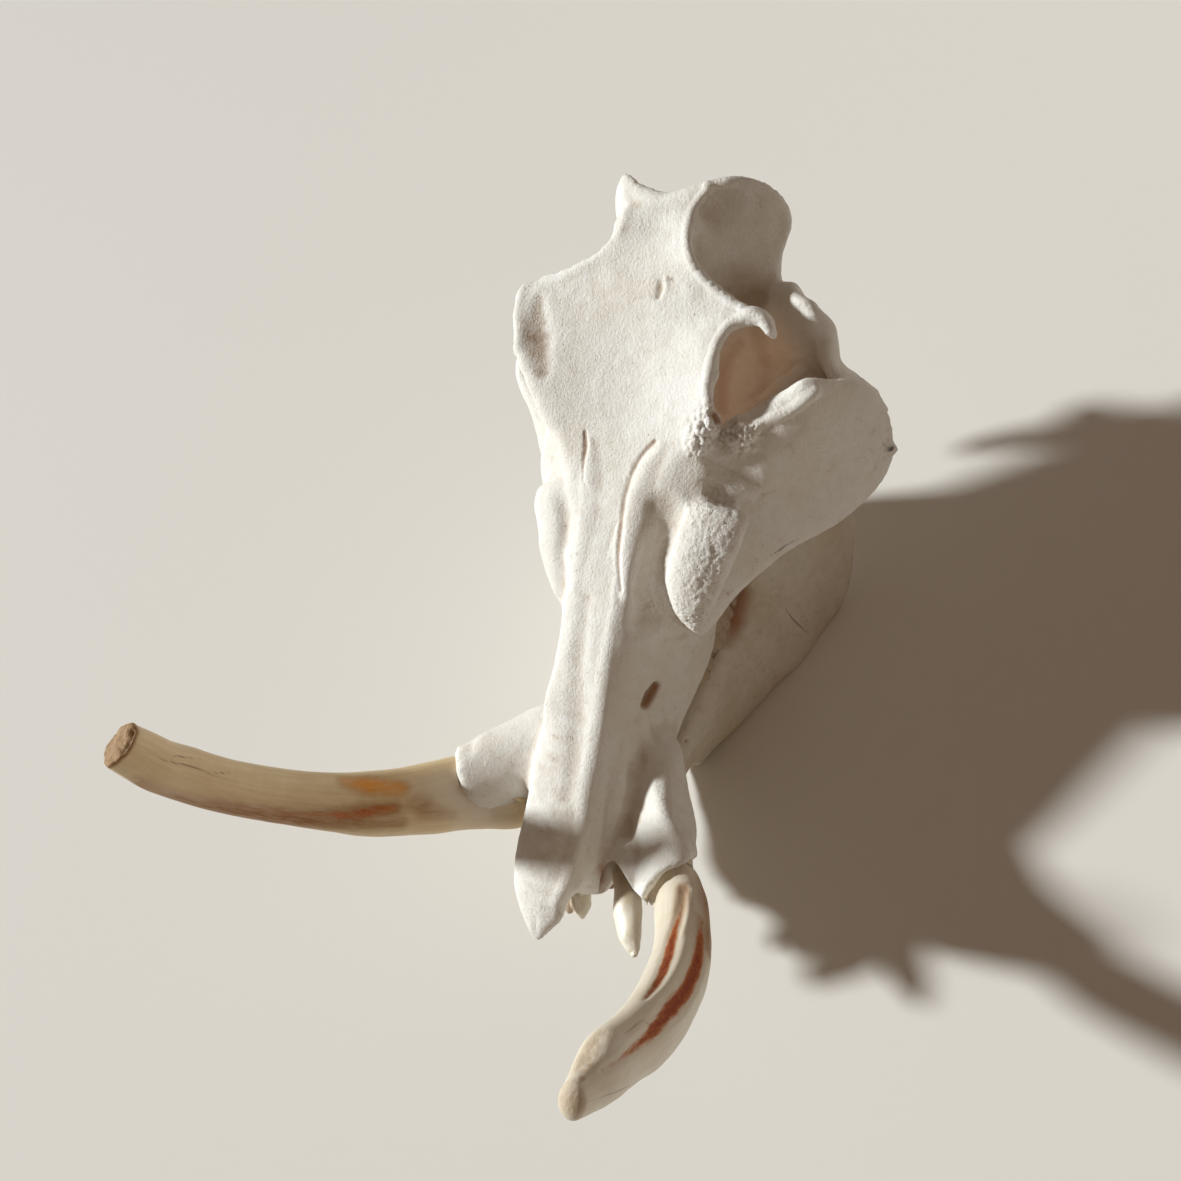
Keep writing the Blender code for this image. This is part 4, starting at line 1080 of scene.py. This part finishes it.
# The broken end is nearly flat past its start, and rough from a little before it
BREAK_START = 1.2
BREAK_FLATNESS = 0.9
BREAK_SKIRT = 1.5
BREAK_FADE = 2.0
LEFT_GROOVE_INNER = ((684, 888), (679, 917), (674, 933), (669, 955), (661, 976), (654, 988), (645, 999))
LEFT_GROOVE_OUTER = (
    (702, 922), (700, 940), (698, 957), (693, 974), (684, 992), (672, 1007), (660, 1022), (646, 1037),
    (631, 1050), (618, 1060), (602, 1070),
)
LEFT_GROOVE_RIDGE = ((688, 893), (688, 910), (685, 926), (681, 938))
LEFT_CRACKS = (
    ((609, 1041), (629, 1031), (639, 1022), (652, 1017)), ((642, 1021), (652, 1026)),
    ((586, 1103), (609, 1094), (629, 1086), (642, 1078)),
)
RIGHT_CRACKS = (
    ((141, 750), (156, 757), (170, 762), (190, 766), (213, 775), (233, 780), (254, 786)),
    ((170, 762), (175, 756), (190, 758), (206, 760)), ((206, 772), (222, 773), (236, 773)),
)
RIGHT_LOWER_GROOVE = ((140, 783), (172, 797), (219, 808), (262, 815), (310, 819), (360, 821), (400, 822))
RIGHT_ORANGE = ((345, 781), (360, 784), (380, 786), (402, 788))
RIGHT_LOWER_ORANGE = ((262, 812), (300, 815), (340, 815), (372, 812), (396, 808))
RIGHT_END_STEP = ((133, 731), (130, 741), (124, 751))
RIGHT_NEW_IVORY = ((405, 785), (435, 790), (462, 795), (485, 800))
RIGHT_SMEAR = ((398, 810), (415, 805), (432, 812), (452, 815))
LEFT_FAR_SIDE = ((706, 884), (706, 900), (709, 925), (708, 950))
LEFT_TIP = (567, 1098)
LEFT_TIP_HOLLOW = ((603, 1034), (590, 1050), (581, 1066))
LEFT_TIP_CHIPS = ((590, 1065), (586, 1070), (582, 1078))


def sculpt_left_tusk(tusk):
    tusk.stroke((LEFT_TIP_HOLLOW, 6.0, -0.7, FACED, (0.6, 1.0, 0.5)))
    tusk.refresh()
    tusk.roughen(tusk.near(LEFT_TIP_HOLLOW, 7), 4.0, 0.25, seed=14.0)
    tusk.tint(
        ("rough", LEFT_TIP_HOLLOW, 7, 0.4), ("grime", LEFT_TIP_HOLLOW, 7, 0.35),
        ("rough", (LEFT_TIP,), 9, 0.7, -1.1), ("grime", (LEFT_TIP,), 9, 0.45, -1.1),
        *(("grime", (chip,), 2.0, 0.6) for chip in LEFT_TIP_CHIPS),
    )
    tusk.stroke(
        (LEFT_GROOVE_INNER, 5.0, -1.5, FACED, (0.8, 1.0, 0.3)),
        (LEFT_GROOVE_OUTER, 6.5, -1.9, FACED, (0.7, 1.0, 1.0, 0.5, 0.2)),
    )
    tusk.refresh()
    tusk.stroke((LEFT_GROOVE_RIDGE, 2.4, 0.7, FACED, (0.5, 1.0, 0.4)))
    tusk.tint(
        ("stain", LEFT_GROOVE_INNER, 2.7, 1.0, PAINT_FACED, (0.15, 0.5, 1.0, 1.0, 0.7, 0.4)),
        ("warm", LEFT_GROOVE_INNER[:5], 6.0, 0.75, PAINT_FACED, (1.0, 0.8, 0.3)),
        ("stain", LEFT_GROOVE_OUTER, 4.2, 1.0, PAINT_FACED, (0.4, 0.9, 1.0, 1.0, 0.75, 0.45, 0.2)),
        ("warm", LEFT_GROOVE_OUTER, 6.5, 0.6, PAINT_FACED, (1.0, 0.7, 0.5, 0.3, 0.0)),
        ("warm", LEFT_FAR_SIDE, 8.0, 0.7, -0.8),
        *(("crack", crack, 0.8, 0.6, PAINT_FACED, (0.6, 1.0, 0.5)) for crack in LEFT_CRACKS),
    )
    tusk.roughen(EVERYWHERE, *IVORY_SWELLS, seed=8.0)


def sculpt_right_tusk(tusk):
    beyond = (tusk.places - tusk.end) @ tusk.direction
    tusk.places -= np.outer(np.maximum(beyond - BREAK_START, 0) * BREAK_FLATNESS, tusk.direction)
    tusk.refresh()
    broken = np.clip((beyond + BREAK_SKIRT) / BREAK_FADE, 0, 1)
    tusk.roughen(broken, 7.0, 1.1, 3, seed=15.0)
    # The broken end is painted dark brown, partly for its broken surface and partly as painted shade
    for mask, strength in (("rough", 1.0), ("warm", 0.2), ("grime", 1.0)):
        tusk.paint[mask] = np.maximum(tusk.paint[mask], broken * strength)
    tusk.stroke((RIGHT_END_STEP, 3.0, -1.6, -0.5))
    tusk.tint(("crack", RIGHT_END_STEP, 2.4, 0.7, -0.5))
    tusk.stroke((RIGHT_LOWER_GROOVE, 8.0, -1.4, FACED, (0.4, 1.0, 1.0, 0.5)))
    tusk.refresh()
    tusk.tint(
        ("pale", RIGHT_NEW_IVORY, 26.0, 0.9, -0.8, (0.3, 0.8, 1.0)),
        # Partly a brown band, partly painted shade along the lower groove
        ("warm", RIGHT_LOWER_GROOVE, 13.0, 0.9, PAINT_FACED, (0.6, 1.0, 1.0, 0.6)),
        ("warm", RIGHT_ORANGE, 9.5, 1.0, PAINT_FACED, (0.7, 1.0, 0.8)),
        ("amber", RIGHT_ORANGE, 9.5, 1.0, PAINT_FACED, (0.7, 1.0, 0.8)),
        ("warm", RIGHT_LOWER_ORANGE, 9.0, 1.0, PAINT_FACED, (0.6, 0.9, 1.0, 0.8)),
        ("stain", RIGHT_LOWER_ORANGE, 5.0, 0.5, PAINT_FACED, (0.3, 0.6, 1.0, 0.7)),
        ("warm", RIGHT_SMEAR, 10.0, 0.6, PAINT_FACED, (0.5, 1.0, 0.5)),
        *(("crack", crack, 0.8, 0.7, PAINT_FACED, (0.5, 1.0, 0.4)) for crack in RIGHT_CRACKS),
    )
    tusk.roughen(EVERYWHERE, *IVORY_SWELLS, seed=9.0)


# Cheek teeth: columns of enamel packed in a row, from name, front, back, middle and width above and below
CHEEK_TEETH = (("molar_3", -17, 37, 22.0, 15.0, 23.5, 11.5), ("molar_2", -36, -19, 21.0, 13.0, 22.5, 10.5))
UPPER_CHEEK_HEIGHTS = (97.0, 76.3)
LOWER_CHEEK_HEIGHTS = (55.0, 75.7)
CHEEK_TOOTH_SIDES = 240
CHEEK_TOOTH_RINGS = 14
CORNER_SHARPNESS = 0.6
BITE_RISE = 0.12
COLUMN_WIDTH = 6.2
COLUMN_DEPTH = 1.0
TOOTH_STEPS = 6
PEG_SIDES = 40
LOWER_CANINE_COURSE = (
    (25, -108, 50), (28, -120, 57), (32, -134, 67), (37, -148, 77), (42.5, -163, 82), (50, -180, 86),
)
LOWER_CANINE_EDGES = (
    ((615, 866), (637, 868)), ((614, 885), (641, 886)), ((613, 905), (642, 905)), ((615, 921), (642, 921)),
    ((618, 935), (642, 934)), ((623, 944), (641, 943)), ((628, 951), (640, 951)), ((631, 955), (638, 955)),
)
LOWER_CANINE = (LOWER_CANINE_COURSE, 3, (7.6, 5.6), LOWER_CANINE_EDGES, 0.72, ALONG_SKULL, TOOTH_STEPS, 64)
CANINE_SHADE = ((622, 866), (624, 880), (627, 896))
LEFT_INCISOR_COURSE = ((12, -148, 72), (11, -156, 71), (9.5, -165, 69.5), (8.5, -172.5, 67.5))
LEFT_INCISOR_EDGES = (
    ((572, 886), (591, 889)), ((570, 896), (591, 899)), ((571, 905), (591, 908)), ((575, 913), (588, 914)),
    ((579, 917), (585, 917)),
)
LEFT_INCISOR = (LEFT_INCISOR_COURSE, 1, (3.6, 3.2), LEFT_INCISOR_EDGES, 0.85, ACROSS_SKULL, TOOTH_STEPS, 48)
RIGHT_INCISOR_COURSE = ((-9, -148, 71), (-7, -156, 70), (-5, -164, 69), (-4, -168, 68))
RIGHT_INCISOR_EDGES = (
    ((565, 888), (577, 891)), ((563, 897), (576, 900)), ((563, 904), (574, 908)), ((567, 911), (573, 913)),
)
RIGHT_INCISOR = (RIGHT_INCISOR_COURSE, 1, (3.6, 3.2), RIGHT_INCISOR_EDGES, 0.85, ACROSS_SKULL, TOOTH_STEPS, 48)
INCISOR_CHIP = ((571, 896), (572, 904), (573, 911))
# Lower incisors: their places across the skull, and stations of y, z and the two half widths
LOWER_INCISOR_X = (5.2, 14.5)
LOWER_INCISOR = ((-128, 46, 3.2, 3.2), (-138, 49.5, 3.6, 3.2), (-147, 53, 3.8, 3.0), (-154, 56, 3.4, 1.8))
# The left outer one shows in the notch by the socket
SHOWN_INCISOR_COURSE = ((14.5, -128, 46), (14.5, -138, 49.5), (14.5, -147, 53), (14.5, -154, 56))
SHOWN_INCISOR_EDGES = (
    ((602, 863), (618, 866)), ((602, 874), (618, 876)), ((603, 883), (617, 883)), ((605, 887), (615, 887)),
)
SHOWN_INCISOR = (
    SHOWN_INCISOR_COURSE, 1, (3.2, 3.2), SHOWN_INCISOR_EDGES, 0.85, ACROSS_SKULL, TOOTH_STEPS, PEG_SIDES,
)


def cheek_tooth_rings(front, back, middle_x, width, heights):
    """Rings of a cheek tooth, its long sides fluted by the columns that make it up."""
    turn = np.linspace(0, 2 * np.pi, CHEEK_TOOTH_SIDES, endpoint=False)
    outline = np.stack([
        np.sign(wave) * np.abs(wave) ** CORNER_SHARPNESS * breadth / 2
        for wave, breadth in ((np.cos(turn), width), (np.sin(turn), back - front))
    ], axis=1)
    following = np.roll(outline, -1, axis=0)
    steps = np.linalg.norm(following - outline, axis=1)
    along = np.concatenate([[0], np.cumsum(steps)[:-1]]) / steps.sum()
    side = (following - np.roll(outline, 1, axis=0))[:, ::-1] * (1, -1)
    side /= np.linalg.norm(side, axis=1, keepdims=True)
    columns = round(steps.sum() / COLUMN_WIDTH)
    outline = outline - side * (COLUMN_DEPTH * (1 - np.abs(np.sin(np.pi * columns * along))))[:, None]
    x = outline[:, 0] + middle_x
    y = outline[:, 1] + (front + back) / 2
    return np.array([
        np.stack([x, y, height + BITE_RISE * y], axis=1) for height in np.linspace(*heights, CHEEK_TOOTH_RINGS)
    ])


def add_tooth(node, rings, cap_reach, enamel, unevenness, strokes=(), tints=(), warm=0.0, grime=0.0):
    """A tooth in place of a node, with its strokes and tints, and the warm brown and grime painted all over it, which
    on the lower incisors is painted shade.
    """
    tooth = tooth_from_rings(f"{node}_enamel", rings, cap_reach)
    tooth.stroke(*strokes)
    tooth.paint["warm"] += warm
    tooth.paint["grime"] += grime
    tooth.tint(*tints)
    tooth.roughen(EVERYWHERE, 4.0, unevenness, 2, seed=31.0)
    tooth.finish(f"{node}_enamel", enamel, node, "teeth", 3)


def make_teeth(enamel):
    for name, front, back, upper_x, upper_width, lower_x, lower_width in CHEEK_TEETH:
        for jaw, middle_x, width, heights in (
            ("upper", upper_x, upper_width, UPPER_CHEEK_HEIGHTS), ("lower", lower_x, lower_width, LOWER_CHEEK_HEIGHTS),
        ):
            rings = cheek_tooth_rings(front, back, middle_x, width, heights)
            for side, turned in (("left", rings), ("right", mirrored(rings))):
                add_tooth(f"{jaw}_{name}_{side}", turned, 0.8, enamel, 0.15, warm=0.5, grime=0.2)
    add_tooth("lower_canine_left", outlined_rings(*LOWER_CANINE), 1.0, enamel, 0.15, tints=(
        ("warm", CANINE_SHADE, 9, 0.35), ("grime", CANINE_SHADE, 9, 0.5)))
    add_tooth("upper_incisor_left", outlined_rings(*LEFT_INCISOR), 0.8, enamel, 0.5, (
        (INCISOR_CHIP, 2.0, -0.9),), (("warm", INCISOR_CHIP, 2.4, 1.0, -0.8),))
    add_tooth("upper_incisor_right", outlined_rings(*RIGHT_INCISOR), 0.8, enamel, 0.5, warm=0.5)
    for number, x in enumerate(LOWER_INCISOR_X, 1):
        table = flow([(x, *station) for station in LOWER_INCISOR], TOOTH_STEPS)
        rings = tube_rings(table[:, :3], table[:, 3], table[:, 4], ACROSS_SKULL, PEG_SIDES)
        left_rings = outlined_rings(*SHOWN_INCISOR) if number == 2 else rings
        for side, turned in (("left", left_rings), ("right", mirrored(rings))):
            # The lower incisors are painted dark brown all over, as painted shade under the muzzle
            add_tooth(f"lower_incisor_{number}_{side}", turned, 1.0, enamel, 0.3, warm=0.9, grime=0.6)


# Materials
def linear(hex_colour):
    """sRGB hex to the linear colour that a shader socket takes."""
    channels = [int(hex_colour[place:place + 2], 16) / 255 for place in (1, 3, 5)]
    return tuple(c / 12.92 if c <= 0.04045 else ((c + 0.055) / 1.055) ** 2.4 for c in channels) + (1.0,)


def add_node(tree, kind, inputs=None, output=0, **settings):
    """Add a shader node with its settings, and give one output of it.

    Each input is a value, a hex colour or the output that feeds it.
    """
    node = tree.nodes.new("ShaderNode" + kind)
    for name, value in settings.items():
        setattr(node, name, value)
    for socket, value in (inputs or {}).items():
        if isinstance(value, bpy.types.NodeSocket):
            tree.links.new(value, node.inputs[socket])
        else:
            node.inputs[socket].default_value = linear(value) if isinstance(value, str) else value
    return node.outputs[output]


def new_material(name, masks=()):
    """A material, its nodes, its shader and the painted masks that it reads."""
    material = bpy.data.materials.new(name)
    material.use_nodes = True
    tree = material.node_tree
    painted = {mask: add_node(tree, "Attribute", output="Fac", attribute_name=mask) for mask in masks}
    return material, tree, tree.nodes["Principled BSDF"], painted


def per_metre(*sizes_mm):
    """Scale of a pattern on coordinates in metres whose detail has these sizes in millimetres."""
    return [1 / (size * MM) for size in sizes_mm]


def figure(tree, place, sizes_mm, detail, roughness):
    """Cloudy figure whose detail has a size in millimetres along each axis."""
    drawn = add_node(tree, "Mapping", {"Vector": place, "Scale": per_metre(*sizes_mm)})
    return add_node(tree, "TexNoise", {"Vector": drawn, "Scale": 1.0, "Detail": detail, "Roughness": roughness})


def lay_coats(tree, colour, coats):
    """Lay colours one over another.

    A coat has its pattern, the range of the pattern in which it thickens, how much it then covers, and its
    colour.
    """
    for pattern, bare, full, cover, coat in coats:
        share = add_node(tree, "MapRange", {"Value": pattern, "From Min": bare, "From Max": full, "To Max": cover})
        colour = add_node(tree, "Mix", {0: share, 6: colour, 7: coat}, 2, data_type="RGBA")
    return colour


def dress(tree, shader, colour, reliefs, gloss, ior):
    """Give a shader its colour, its relief and its gloss.

    A relief has its pattern, strength, depth in millimetres and whether it is sunk, and lies on the one
    before. The gloss has its pattern, the range of the pattern, and the roughness at both ends of it.
    """
    tree.links.new(colour, shader.inputs["Base Color"])
    below = {}
    for pattern, strength, depth, sunk in reliefs:
        normal = add_node(tree, "Bump", {
            "Strength": strength, "Distance": depth * MM, "Height": pattern, **below}, invert=sunk)
        below = {"Normal": normal}
    tree.links.new(normal, shader.inputs["Normal"])
    pattern, low, high, smooth, rough = gloss
    roughness = add_node(tree, "MapRange", {
        "Value": pattern, "From Min": low, "From Max": high, "To Min": smooth, "To Max": rough})
    tree.links.new(roughness, shader.inputs["Roughness"])
    shader.inputs["IOR"].default_value = ior


def bone_finish(name, pale, warm, shade, fleck_amount):
    """Dry bone, bleached by sun: chalky and matt, with a fine grain along the skull and open pores."""
    material, tree, shader, painted = new_material(name, ("warm", "amber", "grime", "rough", "hollow", "crack"))
    place = add_node(tree, "TexCoord", output="Object")
    clouds = figure(tree, place, (38, 38, 38), 4.0, 0.6)
    mottle = figure(tree, place, (6, 6, 6), 5.0, 0.65)
    crumb = figure(tree, place, (1.5, 1.5, 1.5), 4.0, 0.7)
    # The grain leans with the snout, which rises 24 degrees towards the back
    leaned = add_node(tree, "Mapping", {"Vector": place, "Rotation": (math.radians(-24), 0, 0)})
    grain = figure(tree, leaned, (0.9, 7, 0.9), 3.0, 0.6)
    pits = add_node(tree, "TexVoronoi", {"Vector": place, "Scale": per_metre(2.2)[0], "Randomness": 1.0})
    pore = add_node(tree, "MapRange", {
        "Value": pits, "From Min": 0.10, "From Max": 0.24, "To Min": 1.0, "To Max": 0.0})
    pore_patch = add_node(tree, "MapRange", {"Value": mottle, "From Min": 0.5, "From Max": 0.62})
    pore_share = add_node(tree, "Math", {0: pore_patch, 1: painted["rough"]}, operation="MAXIMUM")
    pores = add_node(tree, "Math", {0: pore, 1: pore_share}, operation="MULTIPLY")
    grime = add_node(tree, "Math", {0: painted["grime"], 1: mottle}, operation="MULTIPLY")
    colour = lay_coats(tree, pale, (
        (clouds, 0.38, 0.66, 1.0, warm),
        (mottle, 0.35, 0.75, 0.45, shade),
        # Painted shade: in hollows, then in the brow's hollow and grooves, in pits and over the nose
        (painted["hollow"], 0.52, 0.95, 0.55, "#B39B7C"),
        (grime, 0.1, 0.5, 0.8, "#A0876C"),
        # Brown flecks
        (mottle, 0.633, 0.967, 0.92, "#A9794B"),
        # Orange brown: stains, and painted shade in holes, grooves, the orbit and the notch
        (painted["warm"], 0.0, 1.0, 0.92, "#9A5A1E"),
        (painted["crack"], 0.1, 0.6, 0.85, "#3B2B1D"),
        (pores, 0.0, 1.0, fleck_amount, "#7A6650"),
    ))
    crumb_share = add_node(tree, "Math", {0: painted["rough"], 1: 0.65}, operation="MAXIMUM")
    crumbs = add_node(tree, "Math", {0: crumb, 1: crumb_share}, operation="MULTIPLY")
    reliefs = (
        (grain, 0.22, 0.4, False), (mottle, 0.12, 1.2, False), (crumbs, 0.8, 1.2, False), (pores, 0.55, 0.5, True),
    )
    dress(tree, shader, colour, reliefs, (mottle, 0.3, 0.7, 0.58, 0.78), 1.5)
    shader.inputs["Specular IOR Level"].default_value = 0.35
    # Painted glow: the orbit's thin bone gives off a little warm light
    painted_glow = add_node(tree, "Math", {0: painted["amber"], 1: 0.11}, operation="MULTIPLY")
    tree.links.new(painted_glow, shader.inputs["Emission Strength"])
    shader.inputs["Emission Color"].default_value = linear("#FFCCA0")
    return material


def ivory_finish(name, pale, warm, deep):
    """Tusk ivory: smooth and half glossy, with fine growth lines along the tusk and stained grooves."""
    material, tree, shader, painted = new_material(
        name, ("stain", "warm", "amber", "pale", "grime", "rough", "crack"))
    straight = add_node(tree, "Attribute", output="Vector", attribute_name="straight")
    streaks = figure(tree, straight, (1.4, 1.4, 40), 4.0, 0.6)
    bands = figure(tree, straight, (60, 60, 5), 3.0, 0.5)
    clouds = figure(tree, straight, (16, 16, 16), 4.0, 0.6)
    crumb = figure(tree, straight, (1.6, 1.6, 1.6), 4.0, 0.7)
    patchy = add_node(tree, "MapRange", {"Value": clouds, "From Min": 0.2, "From Max": 0.6, "To Min": 0.4})
    grime = add_node(tree, "Math", {0: painted["grime"], 1: patchy}, operation="MULTIPLY")
    # Fibres of the ivory fray the edge of a stain lengthwise
    fibres = figure(tree, straight, (1.6, 1.6, 9), 4.0, 0.65)
    frayed = add_node(tree, "Math", {0: fibres, 1: 1.1, 2: -0.55}, operation="MULTIPLY_ADD")
    fraying = add_node(tree, "MapRange", {
        "Value": frayed, "From Min": -0.12, "From Max": 0.12, "To Min": 0.8, "To Max": 1.15})
    warmth = add_node(tree, "Math", {0: painted["warm"], 1: fraying}, operation="MULTIPLY")
    stain = add_node(tree, "Math", {0: painted["stain"], 1: frayed}, operation="ADD")
    caked = add_node(tree, "Math", {0: crumb, 1: 1.6, 2: stain}, operation="MULTIPLY_ADD")
    spread = add_node(tree, "MapRange", {"Value": stain, "From Min": 0.16, "From Max": 0.56})
    held = add_node(tree, "MapRange", {"Value": painted["stain"], "From Max": 0.22})
    stain_cover = add_node(tree, "Math", {0: spread, 1: held}, operation="MULTIPLY")
    colour = lay_coats(tree, pale, (
        (clouds, 0.35, 0.7, 0.7, warm),
        (streaks, 0.35, 0.7, 0.4, deep),
        (painted["pale"], 0.0, 1.0, 1.0, "#E4DACB"),
        (grime, 0.05, 0.6, 0.85, "#A07C4C"),
        (warmth, 0.0, 1.0, 1.0, lay_coats(tree, "#98601A", ((painted["amber"], 0.0, 1.0, 1.0, "#E8960C"),))),
        (stain_cover, 0.0, 1.0, 1.0, lay_coats(tree, "#CE782C", ((caked, 0.95, 1.85, 1.0, "#95380A"),))),
        (painted["crack"], 0.2, 0.7, 0.8, "#6A4A2C"),
    ))
    worn = add_node(tree, "Math", {0: painted["rough"], 1: painted["stain"]}, operation="MAXIMUM")
    crumbs = add_node(tree, "Math", {0: crumb, 1: worn}, operation="MULTIPLY")
    reliefs = ((streaks, 0.1, 0.5, False), (bands, 0.12, 1.2, False), (crumbs, 0.7, 1.0, False))
    dress(tree, shader, colour, reliefs, (worn, 0.0, 0.8, 0.42, 0.7), 1.54)
    return material


def enamel_finish(name, pale, warm, deep):
    """Old tooth enamel: glossy cream, with tartar in the grooves and fine lines along the tooth."""
    material, tree, shader, painted = new_material(name, ("warm", "grime", "hollow"))
    straight = add_node(tree, "Attribute", output="Vector", attribute_name="straight")
    streaks = figure(tree, straight, (0.9, 0.9, 12), 4.0, 0.6)
    clouds = figure(tree, straight, (7, 7, 7), 4.0, 0.6)
    colour = lay_coats(tree, pale, (
        (clouds, 0.35, 0.7, 1.0, warm),
        (streaks, 0.45, 0.75, 0.5, deep),
        # Tartar in the grooves; then grime and warm brown, which on the canine's top and the lower incisors are
        # painted shade
        (painted["hollow"], 0.54, 0.85, 0.85, "#7E6240"),
        (painted["grime"], 0.0, 1.0, 0.8, "#8C8256"),
        (painted["warm"], 0.0, 1.0, 1.0, "#8A5A2C"),
    ))
    dress(tree, shader, colour, ((streaks, 0.25, 0.3, False),), (clouds, 0.3, 0.7, 0.38, 0.52), 1.62)
    return material


# Floor, light and camera
def make_stage():
    bpy.ops.object.select_all(action="DESELECT")
    bpy.ops.mesh.primitive_plane_add(size=FLOOR_BREADTH)
    floor = bpy.context.object
    floor.name = "floor"
    material, _, shader, _ = new_material("plain_floor")
    shader.inputs["Base Color"].default_value = linear("#DEDAD2")
    shader.inputs["Roughness"].default_value = 0.9
    floor.data.materials.append(material)


def make_light():
    for name, kind, place, power, colour, settings in LIGHTS:
        data = bpy.data.lights.new(name, kind)
        data.energy = power
        data.color = linear(colour)[:3]
        for setting, value in settings.items():
            setattr(data, setting, value)
        light = bpy.data.objects.new(name, data)
        bpy.context.scene.collection.objects.link(light)
        light.location = place
        light.rotation_mode = "QUATERNION"
        light.rotation_quaternion = (Vector(LIT_PLACE) - Vector(place)).to_track_quat("-Z", "Y")
    world = bpy.data.worlds.new("pale_room")
    world.use_nodes = True
    background = world.node_tree.nodes["Background"]
    background.inputs["Color"].default_value = linear("#F0D0B6")
    background.inputs["Strength"].default_value = 0.17
    bpy.context.scene.world = world
    # Plain display of the colours, so that lit bone is nearly white and shade stays deep
    bpy.context.scene.view_settings.view_transform = "Standard"


def make_camera():
    data = bpy.data.cameras.new("photo_camera")
    data.sensor_width = SENSOR
    data.lens = SENSOR * FOCAL_PIXELS / PICTURE
    data.clip_start = 0.02
    data.clip_end = 50.0
    camera = bpy.data.objects.new("photo_camera", data)
    bpy.context.scene.collection.objects.link(camera)
    place = (EYE + Vector(MIDLINE_TO_FRAME)) * MM
    turn = Matrix((RIGHT, UP, BACK)).transposed().to_4x4()
    camera.matrix_world = Matrix.Translation(place) @ turn
    bpy.context.scene.camera = camera


def main():
    make_camera()
    bone = bone_finish("sun_bleached_bone", "#F0EEE8", "#EBE6DB", "#DFD7C8", 0.28)
    jaw_bone = bone_finish("aged_jaw_bone", "#E4DDCF", "#D8CCB6", "#C6B79E", 0.5)
    left_ivory = ivory_finish("worn_tusk_ivory", "#E6DDCB", "#DCCFB6", "#CDBB9C")
    right_ivory = ivory_finish("tan_tusk_ivory", "#EBD6AE", "#DCC190", "#C6A672")
    cranium = Bone(make_cranium())
    sculpt_cranium(cranium)
    mandible = Bone(make_mandible())
    sculpt_mandible(mandible)
    left_tusk = tooth_from_rings("left_tusk", outlined_rings(*LEFT_TUSK), LEFT_TIP_REACH)
    sculpt_left_tusk(left_tusk)
    right_tusk = tooth_from_rings("right_tusk", outlined_rings(*RIGHT_TUSK), RIGHT_TIP_REACH)
    sculpt_right_tusk(right_tusk)
    for sculpted, name, material, node, slot_name in (
        (cranium, "cranium_bone", bone, "cranium", "bone"),
        (mandible, "mandible_bone", jaw_bone, "mandible", "jaw_bone"),
        (left_tusk, "left_tusk_ivory", left_ivory, "upper_tusk_left", "tusk_left"),
        (right_tusk, "right_tusk_ivory", right_ivory, "upper_tusk_right", "tusk_right"),
    ):
        sculpted.finish(name, material, node, slot_name, 6)
    make_teeth(enamel_finish("aged_tooth_enamel", "#F0EAD9", "#E5DBC2", "#C6B48E"))
    make_stage()
    make_light()


main()
